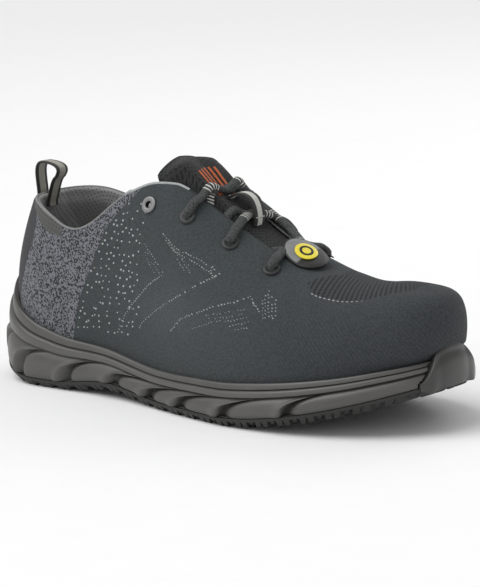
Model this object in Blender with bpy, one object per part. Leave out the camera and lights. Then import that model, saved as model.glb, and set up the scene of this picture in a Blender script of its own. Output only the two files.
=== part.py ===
"""A right-foot knit safety sneaker, built as a shoemaker would put it together.

Metres, +Z up, +X towards the toe, -Y the outer (lateral) side. The origin is on
the floor, in the middle of the heel's tread. Every piece follows one last: an
outline seen from above, a ridge seen from the side, and a fan of profiles that
rise from the outline to the ridge.
"""

import math
from collections import namedtuple

import bmesh
import bpy
from mathutils import Vector
from mathutils.bvhtree import BVHTree

# Overall sizes of the shoe.
SOLE_LENGTH = 0.304
BALL_WIDTH = 0.112
INSTEP_HEIGHT = 0.1468
COLLAR_HEIGHT = 0.1024
RIM_HEIGHT = 0.0408
HEEL_REST = 0.046
FIT_GAP = 0.0004

# Heights of the sole.
HEEL_CUP_RISE = 0.010
HEEL_BEVEL = 0.011
HEEL_REAR = 0.13
ARCH_RISE = 0.004
ARCH_START = 0.19
ARCH_END = 0.47
ARCH_RAMP = 0.14
TOE_SPRING = 0.023
TOE_START = 0.63
SOLE_FLARE = 0.004
RIM_WALL = 0.0024

# The rubber outsole under the foam, its lugs, and the guard round the toe.
TREAD_PLATE = 0.0016
LUG_DEPTH = 0.0024
LUG_PITCH = 0.0130
LUG_SHARE = 0.54
LUG_SLOPE = 0.0006
LUG_SPLIT = 0.42
LUG_INSET = 0.0026
LIP_RISE = 0.0008
LIP_WALL = 0.0016
GUARD_TURN = 0.880
GUARD_RISE = 0.008
GUARD_CLEAR = 0.0010
GUARD_OUT = 0.0008
GUARD_INSET = 0.0032
GUARD_TIP_INSET = 0.0050
GUARD_TIP_WALL = 0.0018

# The knit upper.
WALL = 0.0026
COLLAR_PAD = 0.0030
THROAT_END = 0.214
HOLE_RADIUS = 0.0030
RING_BORE = 0.0020
RING_BARREL = 0.0027
RING_FLANGE = 0.0046
RING_THICKNESS = 0.0008

# What fills the throat and the heel.
TONGUE_THICKNESS = 0.0050
TONGUE_GAP = 0.0009
TONGUE_BULGE = 0.0034
TONGUE_FLAT = 0.75
TONGUE_DROOP = 0.0045
BULGE_END = 0.545
BULGE_EDGE = 0.012
FLAT_END = 0.520
FLAT_EDGE = 0.007
FREE_END = 0.485
DROOP_END = 0.496
TONGUE_EDGE = 0.0024
INSOLE_THICKNESS = 0.0045
LACE_WIDTH = 0.0054
LACE_THICKNESS = 0.0038
LACE_END_GAP = 0.0020
WEBBING_WIDTH = 0.0110
WEBBING_THICKNESS = 0.0013
PULL_LOOP_RISE = 0.019
PULL_LOOP_DROP = 0.012
PULL_LOOP_SWELL = 0.010
KEEPER_ALONG = 0.574
KEEPER_LENGTH = 0.026
KEEPER_RISE = 0.0075
TAG_ALONG = 0.686
TAG_LENGTH = 0.027
TAG_HALF_WIDTH = 0.0105
TAG_THICKNESS = 0.0014
TAG_LIFT = 0.0048
TAG_RAMP = 0.722
TAG_RAMP_LENGTH = 0.013
DISC_RADIUS = 0.0060
DISC_THICKNESS = 0.0006

# Faces along each half of the outline, and up each profile.
TURNS = 36
UPPER_ROWS = 9
LINE_SIDES = 6
HEEL_TURNS = (0.014, 0.030, 0.045, 0.060, 0.076)
TOE_TURNS = (0.902, 0.920, 0.938, 0.956, 0.972, 0.986)

LATERAL = -1
MEDIAL = 1

# Outline of the sole: share of the length, half widths as shares of the ball width.
Outline = namedtuple("Outline", "along lateral medial")
OUTLINE = (
    Outline(0.00, 0.370, 0.370),
    Outline(0.14, 0.375, 0.370),
    Outline(0.28, 0.365, 0.335),
    Outline(0.42, 0.400, 0.325),
    Outline(0.54, 0.465, 0.380),
    Outline(0.65, 0.510, 0.450),
    Outline(0.76, 0.505, 0.475),
    Outline(0.88, 0.470, 0.470),
    Outline(1.00, 0.410, 0.440),
)
HEEL_ROUND = 0.150
HEEL_POWER = 2.15
TOE_ROUND = 0.275
TOE_POWER = 2.30
TOE_SWING = 0.004

# Ridge of the last, seen from the side: share of the length, share of the instep height.
Ridge = namedtuple("Ridge", "along height")
RIDGE = (
    Ridge(0.060, 1.0000),
    Ridge(0.200, 1.0000),
    Ridge(0.280, 0.9659),
    Ridge(0.345, 0.9319),
    Ridge(0.395, 0.9080),
    Ridge(0.440, 0.8774),
    Ridge(0.480, 0.8331),
    Ridge(0.530, 0.7595),
    Ridge(0.590, 0.6778),
    Ridge(0.660, 0.5960),
    Ridge(0.724, 0.5402),
    Ridge(0.760, 0.5177),
    Ridge(0.803, 0.5000),
    Ridge(0.845, 0.4980),
    Ridge(0.888, 0.5048),
    Ridge(0.935, 0.5027),
)

# How the profiles fan from heel (0) to toe (1): where each one meets the ridge,
# how far it runs straight up, how flat it lies across the top, and how far each
# side swells out over the sole, as a share of the ball width.
Fan = namedtuple("Fan", "turn ridge rise flat lateral medial")
FAN = (
    Fan(0.00, 0.150, 0.30, 0.20, 0.0134, 0.0134),
    Fan(0.18, 0.175, 0.38, 0.42, 0.0268, 0.0357),
    Fan(0.30, 0.215, 0.54, 0.64, 0.0446, 0.0982),
    Fan(0.42, 0.335, 0.56, 0.68, 0.0446, 0.1429),
    Fan(0.50, 0.450, 0.56, 0.60, 0.0357, 0.1339),
    Fan(0.60, 0.605, 0.58, 0.54, 0.0268, 0.0714),
    Fan(0.70, 0.735, 0.62, 0.56, 0.0268, 0.0357),
    Fan(0.80, 0.830, 0.68, 0.66, 0.0312, 0.0312),
    Fan(0.90, 0.905, 0.80, 0.78, 0.0580, 0.0536),
    Fan(1.00, 0.937, 0.84, 0.80, 0.0714, 0.0714),
)

# Top line of the collar: share of the length, share of the collar height on each side.
Collar = namedtuple("Collar", "along lateral medial")
COLLAR = (
    Collar(0.04, 1.0000, 1.0000),
    Collar(0.09, 0.9941, 1.0156),
    Collar(0.13, 0.9697, 1.0117),
    Collar(0.17, 0.9307, 0.9795),
    Collar(0.21, 0.8848, 0.9404),
    Collar(0.245, 0.8818, 0.9307),
    Collar(0.28, 0.9307, 0.9648),
    Collar(0.32, 1.0234, 1.0381),
    Collar(0.36, 1.1113, 1.1113),
    Collar(0.40, 1.1748, 1.1748),
    Collar(0.44, 1.1943, 1.1943),
    Collar(0.52, 1.1992, 1.1992),
)

# Half width of the throat, as shares of the ball width.
Throat = namedtuple("Throat", "along half")
THROAT = (
    Throat(0.36, 0.200),
    Throat(0.41, 0.182),
    Throat(0.48, 0.160),
    Throat(0.56, 0.138),
    Throat(0.64, 0.118),
    Throat(0.74, 0.100),
)
THROAT_ROUND = 0.016
CORNER_ROUND = 0.004

# Lace holes: turn of the profile each one sits on, and how far below the edge on each side,
# as a share of the ball width.
Hole = namedtuple("Hole", "turn lateral medial")
HOLES = (
    Hole(0.450, 0.1027, 0.1027),
    Hole(0.513, 0.1295, 0.1295),
    Hole(0.575, 0.1116, 0.1205),
    Hole(0.637, 0.1205, 0.1027),
)

# Height of the foam's rim over the tread, and of the floor the foot stands over, as shares
# of the rim's height at the heel.
Side = namedtuple("Side", "along height bed")
SIDE = (
    Side(0.00, 1.0000, 0.6691),
    Side(0.08, 1.0000, 0.6569),
    Side(0.16, 0.8284, 0.6201),
    Side(0.26, 0.6446, 0.5466),
    Side(0.36, 0.5221, 0.4608),
    Side(0.48, 0.5147, 0.3750),
    Side(0.58, 0.5392, 0.3431),
    Side(0.68, 0.5637, 0.3382),
    Side(0.78, 0.5392, 0.3260),
    Side(0.90, 0.4730, 0.2892),
    Side(1.00, 0.4240, 0.2525),
)

# Rows up the side of the foam: share of the wall, how far it stands out for the rim's height,
# how strongly the scallops show, and how far they have swept forward.
Wall = namedtuple("Wall", "rise out relief sweep")
WALL_ROWS = (
    Wall(0.00, 0.0000, 1.0, 0.00),
    Wall(0.20, 0.0294, 1.0, 0.02),
    Wall(0.38, 0.0343, 0.9, 0.16),
    Wall(0.50, 0.0196, 0.6, 0.55),
    Wall(0.57, 0.0000, 0.2, 1.00),
    Wall(0.60, 0.0343, 0.0, 1.00),
    Wall(0.78, 0.0343, 0.0, 1.00),
    Wall(0.81, -0.0098, 0.0, 1.00),
    Wall(1.00, 0.0000, 0.0, 1.00),
)
SCALLOP_SWEEP = 0.060
SCALLOP_DEPTH = 0.0030
SCALLOP_WIDTH = 0.009
SCALLOPS = (0.105, 0.205, 0.310, 0.398, 0.462, 0.520, 0.592, 0.688)
WALL_TURNS = 22
ROUND_SCALLOP = (-1.2, -0.30, 0.60, 2.2)

# Half width of the tongue by turn, as a share of the ball width.
Tongue = namedtuple("Tongue", "turn half")
TONGUE = (
    Tongue(0.472, 0.2321),
    Tongue(0.478, 0.2857),
    Tongue(0.492, 0.3125),
    Tongue(0.530, 0.2946),
    Tongue(0.600, 0.2500),
    Tongue(0.660, 0.2054),
    Tongue(0.730, 0.1518),
)
TONGUE_ROWS = 13
TONGUE_COLUMNS = 4

COLOURS = {
    "knit": ((0.055, 0.062, 0.066), 0.85),
    "foam": ((0.085, 0.083, 0.080), 0.60),
    "rubber": ((0.050, 0.050, 0.050), 0.55),
    "mesh": ((0.030, 0.031, 0.031), 0.90),
    "lining": ((0.100, 0.099, 0.098), 0.90),
    "cord": ((0.045, 0.047, 0.048), 0.80),
    "webbing": ((0.380, 0.370, 0.340), 0.55),
    "ring": ((0.160, 0.160, 0.160), 0.40),
    "tag": ((0.110, 0.110, 0.115), 0.35),
    "disc": ((0.780, 0.680, 0.060), 0.45),
}


def blend(rows, name, at):
    """A smooth curve through one column of a table, level at both ends."""
    keys = [row[0] for row in rows]
    values = [getattr(row, name) for row in rows]
    at = min(max(at, keys[0]), keys[-1])
    slopes = [0.0] * len(rows)
    for k in range(1, len(rows) - 1):
        slopes[k] = (values[k + 1] - values[k - 1]) / (keys[k + 1] - keys[k - 1])
    k = max(i for i in range(len(rows) - 1) if keys[i] <= at)
    span = keys[k + 1] - keys[k]
    t = (at - keys[k]) / span
    return (
        values[k] * (1 + 2 * t) * (1 - t) ** 2
        + values[k + 1] * t * t * (3 - 2 * t)
        + span * (slopes[k] * t * (1 - t) ** 2 - slopes[k + 1] * t * t * (1 - t))
    )


def ease(value):
    """0 below 0, 1 above 1, and a smooth step between."""
    value = min(max(value, 0.0), 1.0)
    return value * value * (3 - 2 * value)


def shoe_x(along):
    """X of a share of the sole's length."""
    return along * SOLE_LENGTH - HEEL_REST


def share_of(x):
    """Share of the sole's length at an X."""
    return (x + HEEL_REST) / SOLE_LENGTH


def axis_y(along):
    """The shoe's middle line, which swings inwards at the toe."""
    return TOE_SWING * ease((along - 0.45) / 0.55)


def round_end(share, power):
    """How wide a rounded end is, from 0 at its tip to 1."""
    return (1 - (1 - min(max(share, 0.0), 1.0)) ** power) ** (1 / power)


def outline(turn, side, inset):
    """A point of the sole's outline, moved inwards, with turn 0 at the heel and 1 at the toe."""
    along = (1 - math.cos(math.pi * min(max(turn, 0.0), 1.0))) / 2
    name = "lateral" if side == LATERAL else "medial"
    ends = round_end(along / HEEL_ROUND, HEEL_POWER) * round_end((1 - along) / TOE_ROUND, TOE_POWER)
    half = (blend(OUTLINE, name, along) * BALL_WIDTH - inset) * ends
    x = shoe_x(0) + inset + along * (SOLE_LENGTH - 2 * inset)
    return Vector((x, axis_y(along) + side * half, 0))


def toe_lift(x):
    """How far the sprung toe has risen."""
    return TOE_SPRING * max(0.0, (share_of(x) - TOE_START) / (1 - TOE_START)) ** 1.6


def tread_z(x):
    """Height of the tread's lowest face: bevelled heel, raised arch and sprung toe."""
    along = share_of(x)
    heel = HEEL_BEVEL * max(0.0, 1 - along / HEEL_REAR) ** 2
    arch = ARCH_RISE * ease((along - ARCH_START) / ARCH_RAMP) * ease((ARCH_END - along) / ARCH_RAMP)
    return heel + arch + toe_lift(x)


def plate_z(x):
    """Underside of the foam, on top of the tread plate."""
    return tread_z(x) + LUG_DEPTH + TREAD_PLATE


def rim_z(x, turn):
    """Top of the foam's thin rim, which rises into a cup at the heel."""
    cup = HEEL_CUP_RISE * (1 - ease(turn / 0.17))
    return tread_z(x) + blend(SIDE, "height", share_of(x)) * RIM_HEIGHT + cup


def bed_z(x):
    """Top of the foam inside the shoe, which the foot stands over."""
    return blend(SIDE, "bed", share_of(x)) * RIM_HEIGHT + toe_lift(x)


def ridge_height(along):
    """Height of the last's ridge at a share of the length."""
    return blend(RIDGE, "height", along) * INSTEP_HEIGHT


def ridge_point(turn):
    """Where the profile at this turn meets the ridge."""
    along = blend(FAN, "ridge", turn)
    return Vector((shoe_x(along), axis_y(along), ridge_height(along)))


def ridge_slope(turn):
    """Rise of the ridge for each metre along it."""
    along = blend(FAN, "ridge", turn)
    step = 0.002
    return (ridge_height(along + step) - ridge_height(along - step)) / (2 * step * SOLE_LENGTH)


def last_point(turn, side, up):
    """A point on the outside of the closed last: up is 0 at the rim and 1 at the ridge."""
    foot = outline(turn, side, SOLE_FLARE + RIM_WALL + FIT_GAP)
    foot.z = rim_z(foot.x, turn)
    top = ridge_point(turn)
    outward = Vector((foot.x - top.x, foot.y - top.y, 0))
    rise = blend(FAN, "rise", turn) * (top.z - foot.z)
    swell = blend(FAN, "lateral" if side == LATERAL else "medial", turn) * BALL_WIDTH
    first = foot + Vector((0, 0, rise)) + outward.normalized() * swell
    flat = blend(FAN, "flat", turn)
    across = Vector((outward.x, outward.y, ridge_slope(turn) * outward.x))
    last = top + across * flat
    down = 1 - up
    return foot * down**3 + first * (3 * up * down**2) + last * (3 * up * up * down) + top * up**3


def last_normal(turn, side, up):
    """The outward direction on the last."""
    step = 0.004
    low, high = max(up - step, 0.0), min(up + step, 1.0)
    along_up = last_point(turn, side, high) - last_point(turn, side, low)
    if turn < step or turn > 1 - step:
        along_turn = Vector((0, side if turn < step else -side, 0))
    else:
        along_turn = last_point(turn + step, side, up) - last_point(turn - step, side, up)
    if up > 1 - step:
        along_up = Vector((0, -side, 0))
        slope = ridge_slope(turn)
        along_turn = Vector((1, 0, slope))
    return side * along_up.cross(along_turn).normalized()


def throat_half(along):
    """Half width of the throat, closed by a round end."""
    end = share_of(shoe_x(0) + THROAT_END)
    if along >= end:
        return 0.0
    closing = round_end((end - along) * SOLE_LENGTH / THROAT_ROUND, 2.0)
    return blend(THROAT, "half", along) * BALL_WIDTH * closing


def is_open(point, side):
    """Whether the collar or the throat, joined by a rounded corner, takes this point away."""
    along = share_of(point.x)
    name = "lateral" if side == LATERAL else "medial"
    over = point.z - blend(COLLAR, name, along) * COLLAR_HEIGHT
    within = throat_half(along) - abs(point.y - axis_y(along))
    if along < THROAT[0].along:
        return over > 0
    return max(over, within, over + within + CORNER_ROUND) > 1e-9


def top_up(turn, side):
    """How far up a profile the knit runs before the collar or the throat."""
    steps = 200
    for k in range(1, steps + 1):
        if is_open(last_point(turn, side, k / steps), side):
            low, high = (k - 1) / steps, k / steps
            for _ in range(20):
                middle = (low + high) / 2
                if is_open(last_point(turn, side, middle), side):
                    high = middle
                else:
                    low = middle
            return low
    return 1.0


def wall_thickness(turn, side, up, top):
    """The knit's wall, padded below the collar."""
    heel = 1 - ease((turn - 0.28) / 0.14)
    near_top = ease(1 - (top - up) / 0.30)
    lip = 1 - 0.55 * ease(1 - (top - up) / 0.05)
    return WALL + COLLAR_PAD * heel * near_top * lip


def new_object(name, slot, mesh):
    """Puts a mesh in the scene with its material."""
    obj = bpy.data.objects.new(name, mesh)
    material = bpy.data.materials.get(slot)
    if material is None:
        material = bpy.data.materials.new(slot)
        material.use_nodes = True
        shader = material.node_tree.nodes["Principled BSDF"]
        colour, roughness = COLOURS[slot]
        shader.inputs["Base Color"].default_value = (*colour, 1)
        shader.inputs["Roughness"].default_value = roughness
    mesh.materials.append(material)
    bpy.context.scene.collection.objects.link(obj)
    return obj


def finished(name, slot, points, faces):
    """A closed solid from points and faces, with its faces turned outwards."""
    mesh = bpy.data.meshes.new(name)
    shape = bmesh.new()
    made = [shape.verts.new(point) for point in points]
    for face in faces:
        corners = [made[k] for k in dict.fromkeys(face)]
        if len(corners) > 2:
            shape.faces.new(corners)
    bmesh.ops.recalc_face_normals(shape, faces=shape.faces)
    if shape.calc_volume(signed=True) < 0:
        bmesh.ops.reverse_faces(shape, faces=shape.faces)
    shape.to_mesh(mesh)
    shape.free()
    mesh.shade_smooth()
    mesh.set_sharp_from_angle(angle=math.radians(40))
    return new_object(name, slot, mesh)


def make_upper():
    """The knit upper: one hollow wall, open at the collar, the throat and underneath."""
    points, faces, layers = [], [], {}
    tops = {
        (k, side): top_up(k / TURNS, side) for side in (LATERAL, MEDIAL) for k in range(TURNS + 1)
    }

    def place(layer, side, k, row):
        """Index of a point of the wall, shared where the two sides meet."""
        turn = k / TURNS
        top = min(tops[k, LATERAL], tops[k, MEDIAL]) if k in (0, TURNS) else tops[k, side]
        shared = k in (0, TURNS) or (row == UPPER_ROWS and top == 1.0)
        key = (layer, LATERAL if shared else side, k, row)
        if key in layers:
            return layers[key]
        side = key[1]
        up = top * max(0, row - 1) / (UPPER_ROWS - 1)
        point = last_point(turn, side, up)
        if layer == "inner":
            point -= last_normal(turn, side, up) * wall_thickness(turn, side, up, top)
        if row == 0:
            point.z = bed_z(point.x) + FIT_GAP
        layers[key] = len(points)
        points.append(point)
        return layers[key]

    for side in (LATERAL, MEDIAL):
        for k in range(TURNS):
            for layer in ("outer", "inner"):
                for row in range(UPPER_ROWS):
                    faces.append(
                        (
                            place(layer, side, k, row),
                            place(layer, side, k + 1, row),
                            place(layer, side, k + 1, row + 1),
                            place(layer, side, k, row + 1),
                        )
                    )
            for row in (0, UPPER_ROWS):
                shut = [tops[n, side] == 1.0 for n in (k, k + 1)]
                if row and all(shut):
                    continue
                faces.append(
                    (
                        place("outer", side, k, row),
                        place("outer", side, k + 1, row),
                        place("inner", side, k + 1, row),
                        place("inner", side, k, row),
                    )
                )
    return finished("upper", "knit", points, faces)


def scallop(turn):
    """How deep the side of the foam is cut at this turn, before it sweeps forward."""
    depth = 0.0
    for start in SCALLOPS:
        depth += math.exp(-(((turn - start) / SCALLOP_WIDTH) ** 2))
        depth -= 0.30 * math.exp(-(((turn - start - 2.2 * SCALLOP_WIDTH) / SCALLOP_WIDTH) ** 2))
    return SCALLOP_DEPTH * depth * ease(turn / 0.05)


def swept_turn(turn):
    """How far a column of the foam leans towards the toe by its top."""
    return SCALLOP_SWEEP * ease(turn / 0.14) * ease((GUARD_TURN - 0.02 - turn) / 0.16)


def foam_turns():
    """Turns of the foam's columns, gathered where a scallop is cut."""
    turns = [0.155] + [k / WALL_TURNS for k in range(3, WALL_TURNS - 2)]
    for start in SCALLOPS:
        near = [start + step * SCALLOP_WIDTH for step in ROUND_SCALLOP]
        turns = [turn for turn in turns if abs(turn - start - 0.5 * SCALLOP_WIDTH) > 3 * SCALLOP_WIDTH]
        turns += near
    turns += [GUARD_TURN - 0.012, GUARD_TURN - 0.004, GUARD_TURN + 0.004]
    return [0.0] + sorted(turns + list(HEEL_TURNS + TOE_TURNS)) + [1.0]


def foam_point(turn, side, row):
    """A point on the outer wall of the foam."""
    moved = turn + row.sweep * swept_turn(turn)
    inset = SOLE_FLARE * row.rise - row.out * RIM_HEIGHT + scallop(turn) * row.relief
    recess = ease((moved - GUARD_TURN + 0.012) / 0.008)
    inset += (max(inset, GUARD_INSET + 1.5 * FIT_GAP) - inset) * recess
    point = outline(moved, side, inset)
    foot, rim = plate_z(point.x) + LIP_RISE + FIT_GAP, rim_z(point.x, moved)
    point.z = foot + (rim - foot) * row.rise
    return point


def round_the_shoe(turns, place):
    """Points once round the shoe: heel to toe on the outer side and back on the inner."""
    return [place(turn, LATERAL) for turn in turns] + [place(turn, MEDIAL) for turn in turns[-2:0:-1]]


def solid_of_rings(name, slot, rings, bottom=None):
    """A solid skinned over rings, with a ladder of faces across the first and the last."""
    count = len(rings[0])
    half = count // 2
    points = [point for ring in rings for point in ring]
    faces = []
    for low in range(len(rings) - 1):
        for k in range(count):
            here, after = low * count + k, low * count + (k + 1) % count
            faces.append((here, after, after + count, here + count))
    ends = (0, (len(rings) - 1) * count)
    for start in ends[1:] if bottom else ends:
        for k in range(half):
            low, high = (count - k) % count, count - k - 1
            faces.append((start + k, start + k + 1, start + high, start + low))
    if bottom:
        across = {}
        for k in range(1, half):
            lateral, medial = points[k], points[count - k]
            across[k] = [k] + [len(points) + n for n in range(len(bottom))] + [count - k]
            points += [lateral.lerp(medial, share) + Vector((0, 0, lift(k))) for share, lift in bottom]
        across[0] = [0] * (len(bottom) + 2)
        across[half] = [half] * (len(bottom) + 2)
        for k in range(half):
            for n in range(len(bottom) + 1):
                faces.append((across[k][n], across[k][n + 1], across[k + 1][n + 1], across[k + 1][n]))
    return finished(name, slot, points, faces)


def make_midsole():
    """The foam: scalloped side, raised rib, thin rim and the tray that holds the upper."""
    turns = foam_turns()
    rings = []
    for lift in (FIT_GAP, LIP_RISE + FIT_GAP):
        ring = []
        for point in round_the_shoe(turns, lambda turn, side: outline(turn, side, LIP_WALL + FIT_GAP)):
            point.z = plate_z(point.x) + lift
            ring.append(point)
        rings.append(ring)
    for row in WALL_ROWS:
        rings.append(round_the_shoe(turns, lambda turn, side: foam_point(turn, side, row)))
    moved = [turn + swept_turn(turn) for turn in turns]
    for in_tray in (False, True):

        def place(turn, side):
            point = outline(turn, side, SOLE_FLARE + RIM_WALL)
            point.z = bed_z(point.x) if in_tray else rim_z(point.x, turn)
            return point

        rings.append(round_the_shoe(moved, place))
    return solid_of_rings("midsole", "foam", rings)


def lug_turns():
    """Turns of the outsole's columns and which are low at the edge, with a middle lug at the origin."""
    count = round(SOLE_LENGTH / LUG_PITCH)
    origin = (HEEL_REST - LUG_INSET) / (SOLE_LENGTH - 2 * LUG_INSET)
    shift = ((1 + LUG_SHARE) / 2 - origin * count) % 1.0
    slope = LUG_SLOPE * count / SOLE_LENGTH
    low = {0.0: 0, 1.0: 0}
    for k in range(-1, count + 1):
        for share, down in ((0.0, 1), (LUG_SHARE, 1), (LUG_SHARE + slope, 0), (1 - slope, 0)):
            along = (k - shift + share) / count
            if 0.004 < along < 0.996:
                low[math.acos(1 - 2 * along) / math.pi] = down
    for turn in HEEL_TURNS + TOE_TURNS:
        share = ((1 - math.cos(math.pi * turn)) / 2 * count + shift) % 1.0
        clear = min(abs(turn - other) for other in low) > 0.008
        if clear and share < LUG_SHARE:
            low[turn] = 1
        elif clear and LUG_SHARE + slope < share < 1 - slope:
            low[turn] = 0
    turns = sorted(low)
    return turns, [low[turn] for turn in turns]


def make_outsole():
    """The rubber tread: staggered lugs, a thin plate and a lip round the foam's foot."""
    turns, low = lug_turns()
    rings = []
    for inset, lift in ((LUG_INSET, None), (-0.0002, LIP_RISE), (LIP_WALL, LIP_RISE), (LIP_WALL, 0.0)):
        ring = round_the_shoe(turns, lambda turn, side: outline(turn, side, inset))
        drops = low + low[-2:0:-1]
        for point, down in zip(ring, drops):
            if lift is None:
                point.z = tread_z(point.x) + (0 if down else LUG_DEPTH)
            else:
                point.z = plate_z(point.x) + lift
        rings.append(ring)

    def beside(k):
        """The edge strips keep the outline's height."""
        return 0.0

    def between(k):
        """The middle strip is low where the edge strips are high."""
        return LUG_DEPTH if low[k] else -LUG_DEPTH

    edge = (1 - LUG_SPLIT) / 2
    return solid_of_rings(
        "outsole",
        "rubber",
        rings,
        bottom=(
            (edge, beside),
            (edge + 0.012, between),
            (1 - edge - 0.012, between),
            (1 - edge, beside),
        ),
    )


def closed_last():
    """The whole last as faces that rays can be cast at."""
    steps, rows = 100, 40
    points, faces = [], []
    for side in (LATERAL, MEDIAL):
        start = len(points)
        for k in range(steps + 1):
            points += [last_point(k / steps, side, row / rows) for row in range(rows + 1)]
        for k in range(steps):
            for row in range(rows):
                here = start + k * (rows + 1) + row
                faces.append((here, here + 1, here + rows + 2, here + rows + 1))
    return BVHTree.FromPolygons(points, faces)


def on_last(last, x, y, lift=0.0):
    """The last's surface straight under a point seen from above, and its direction there."""
    point, normal, _, _ = last.ray_cast(Vector((x, y, 0.30)), Vector((0, 0, -1)))
    if normal.z < 0:
        normal = -normal
    return point + normal * lift, normal


def swept(name, slot, path, ups, width, thickness, sides=LINE_SIDES):
    """A bar of rounded or flat section along a path, lying across each step's up direction."""
    points, faces = [], []
    for k, centre in enumerate(path):
        along = (path[min(k + 1, len(path) - 1)] - path[max(k - 1, 0)]).normalized()
        across = along.cross(ups[k]).normalized()
        up = across.cross(along).normalized()
        for n in range(sides):
            if sides == 4:
                right, rise = ((1, 1), (1, -1), (-1, -1), (-1, 1))[n]
                right, rise = right * width / 2, rise * thickness / 2
            else:
                angle = 2 * math.pi * (n + 0.5) / sides
                right, rise = math.cos(angle) * width / 2, math.sin(angle) * thickness / 2
            points.append(centre + across * right + up * rise)
    for k in range(len(path) - 1):
        for n in range(sides):
            here, after = k * sides + n, k * sides + (n + 1) % sides
            faces.append((here, after, after + sides, here + sides))
    faces.append(tuple(range(sides)))
    faces.append(tuple(range((len(path) - 1) * sides, len(path) * sides)))
    return finished(name, slot, points, faces)


def hole_spot(hole, side):
    """Where a lace hole sits on the upper, and which way it faces."""
    up = top_up(hole.turn, side)
    edge, run = last_point(hole.turn, side, up), 0.0
    while run < (hole.lateral if side == LATERAL else hole.medial) * BALL_WIDTH:
        up -= 0.002
        point = last_point(hole.turn, side, up)
        run += (point - edge).length
        edge = point
    return edge, last_normal(hole.turn, side, up)


def turned(name, slot, centre, normal, profile, sides=12):
    """A ring turned round an axis: its profile lists radius and height."""
    across = normal.cross(Vector((1, 0, 0))).normalized()
    other = normal.cross(across)
    points, faces = [], []
    for n in range(sides):
        angle = 2 * math.pi * n / sides
        out = across * math.cos(angle) + other * math.sin(angle)
        points += [centre + out * radius + normal * height for radius, height in profile]
    count = len(profile)
    for n in range(sides):
        for k in range(count):
            here, there = n * count, (n + 1) % sides * count
            faces.append((here + k, here + (k + 1) % count, there + (k + 1) % count, there + k))
    return finished(name, slot, points, faces)


def make_holes_and_rings(upper):
    """Cuts the lace holes through the knit and sets a ring in each one."""
    points, faces = [], []
    for number, hole in enumerate(HOLES, 1):
        for side, word in ((LATERAL, "outer"), (MEDIAL, "inner")):
            centre, normal = hole_spot(hole, side)
            turned(
                f"eyelet_{word}_{number}",
                "ring",
                centre,
                normal,
                (
                    (RING_BORE, -WALL + 0.0004),
                    (RING_BORE, FIT_GAP + RING_THICKNESS),
                    (RING_FLANGE, FIT_GAP + RING_THICKNESS * 0.6),
                    (RING_FLANGE, FIT_GAP),
                    (RING_BARREL, FIT_GAP),
                    (RING_BARREL, -WALL + 0.0004),
                ),
                sides=8,
            )
            across = normal.cross(Vector((1, 0, 0))).normalized()
            other = normal.cross(across)
            start, sides = len(points), 8
            for height in (-0.008, 0.006):
                for n in range(sides):
                    angle = 2 * math.pi * (n + 0.5) / sides
                    out = across * math.cos(angle) + other * math.sin(angle)
                    points.append(centre + out * HOLE_RADIUS * 1.08 + normal * height)
            faces += [
                (start + n, start + (n + 1) % sides, start + sides + (n + 1) % sides, start + sides + n)
                for n in range(sides)
            ]
            faces.append(tuple(range(start, start + sides)))
            faces.append(tuple(range(start + sides, start + 2 * sides)))
    cutter = finished("lace_holes", "ring", points, faces)
    cutter.hide_render = True
    cutter.display_type = "WIRE"
    cut = upper.modifiers.new("lace holes", "BOOLEAN")
    cut.operation = "DIFFERENCE"
    cut.solver = "EXACT"
    cut.object = cutter


def tongue_up(turn, side, width):
    """How far up the profile lies at a distance from the ridge."""
    before, run, steps = last_point(turn, side, 1.0), 0.0, 200
    for k in range(1, steps + 1):
        after = last_point(turn, side, 1 - 0.6 * k / steps)
        run += (after - before).length
        if run >= width:
            return 1 - 0.6 * k / steps
        before = after
    return 0.4


def make_tongue():
    """The padded tongue, which follows the underside of the upper and stands out of the throat."""
    low, high = TONGUE[0].turn, TONGUE[-1].turn
    points, faces = [], []
    columns = 2 * TONGUE_COLUMNS + 1
    for layer in (0, 1):
        for row in range(TONGUE_ROWS):
            turn = low + (high - low) * (row / (TONGUE_ROWS - 1)) ** 1.15
            half = blend(TONGUE, "half", turn) * BALL_WIDTH
            for column in range(-TONGUE_COLUMNS, TONGUE_COLUMNS + 1):
                side = LATERAL if column < 0 else MEDIAL
                share = abs(column) / TONGUE_COLUMNS
                up = tongue_up(turn, side, half * share) if column else 1.0
                rim = ease((1 - share) / 0.35) * ease(row / 2) * ease((TONGUE_ROWS - 1 - row) / 2)
                point, ridge = last_point(turn, side, up), last_point(turn, side, 1.0)
                within = throat_half(share_of(point.x)) - abs(point.y - axis_y(share_of(point.x)))
                bulge = TONGUE_BULGE * ease((BULGE_END - turn) / 0.05) * ease(within / BULGE_EDGE)
                free = 0.002 if side == MEDIAL and turn < FREE_END else -0.001
                flat = TONGUE_FLAT * ease((FLAT_END - turn) / 0.04) * ease((within + free) / FLAT_EDGE)
                droop = TONGUE_DROOP * ease((DROOP_END - turn) / 0.024)
                point.z += flat * (ridge.z - point.z) - droop
                depth = WALL + TONGUE_GAP - bulge
                if layer:
                    depth += TONGUE_EDGE + (TONGUE_THICKNESS - TONGUE_EDGE) * rim
                points.append(point - last_normal(turn, side, up) * depth)
    size = columns * TONGUE_ROWS
    for row in range(TONGUE_ROWS - 1):
        for column in range(columns - 1):
            here = row * columns + column
            square = (here, here + 1, here + 1 + columns, here + columns)
            faces.append(square)
            faces.append(tuple(k + size for k in square))
    edge = list(range(columns))
    edge += [row * columns + columns - 1 for row in range(1, TONGUE_ROWS)]
    edge += [size - 1 - k for k in range(1, columns)]
    edge += [row * columns for row in range(TONGUE_ROWS - 2, 0, -1)]
    for k, here in enumerate(edge):
        after = edge[(k + 1) % len(edge)]
        faces.append((here, after, after + size, here + size))
    return finished("tongue", "mesh", points, faces)


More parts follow.
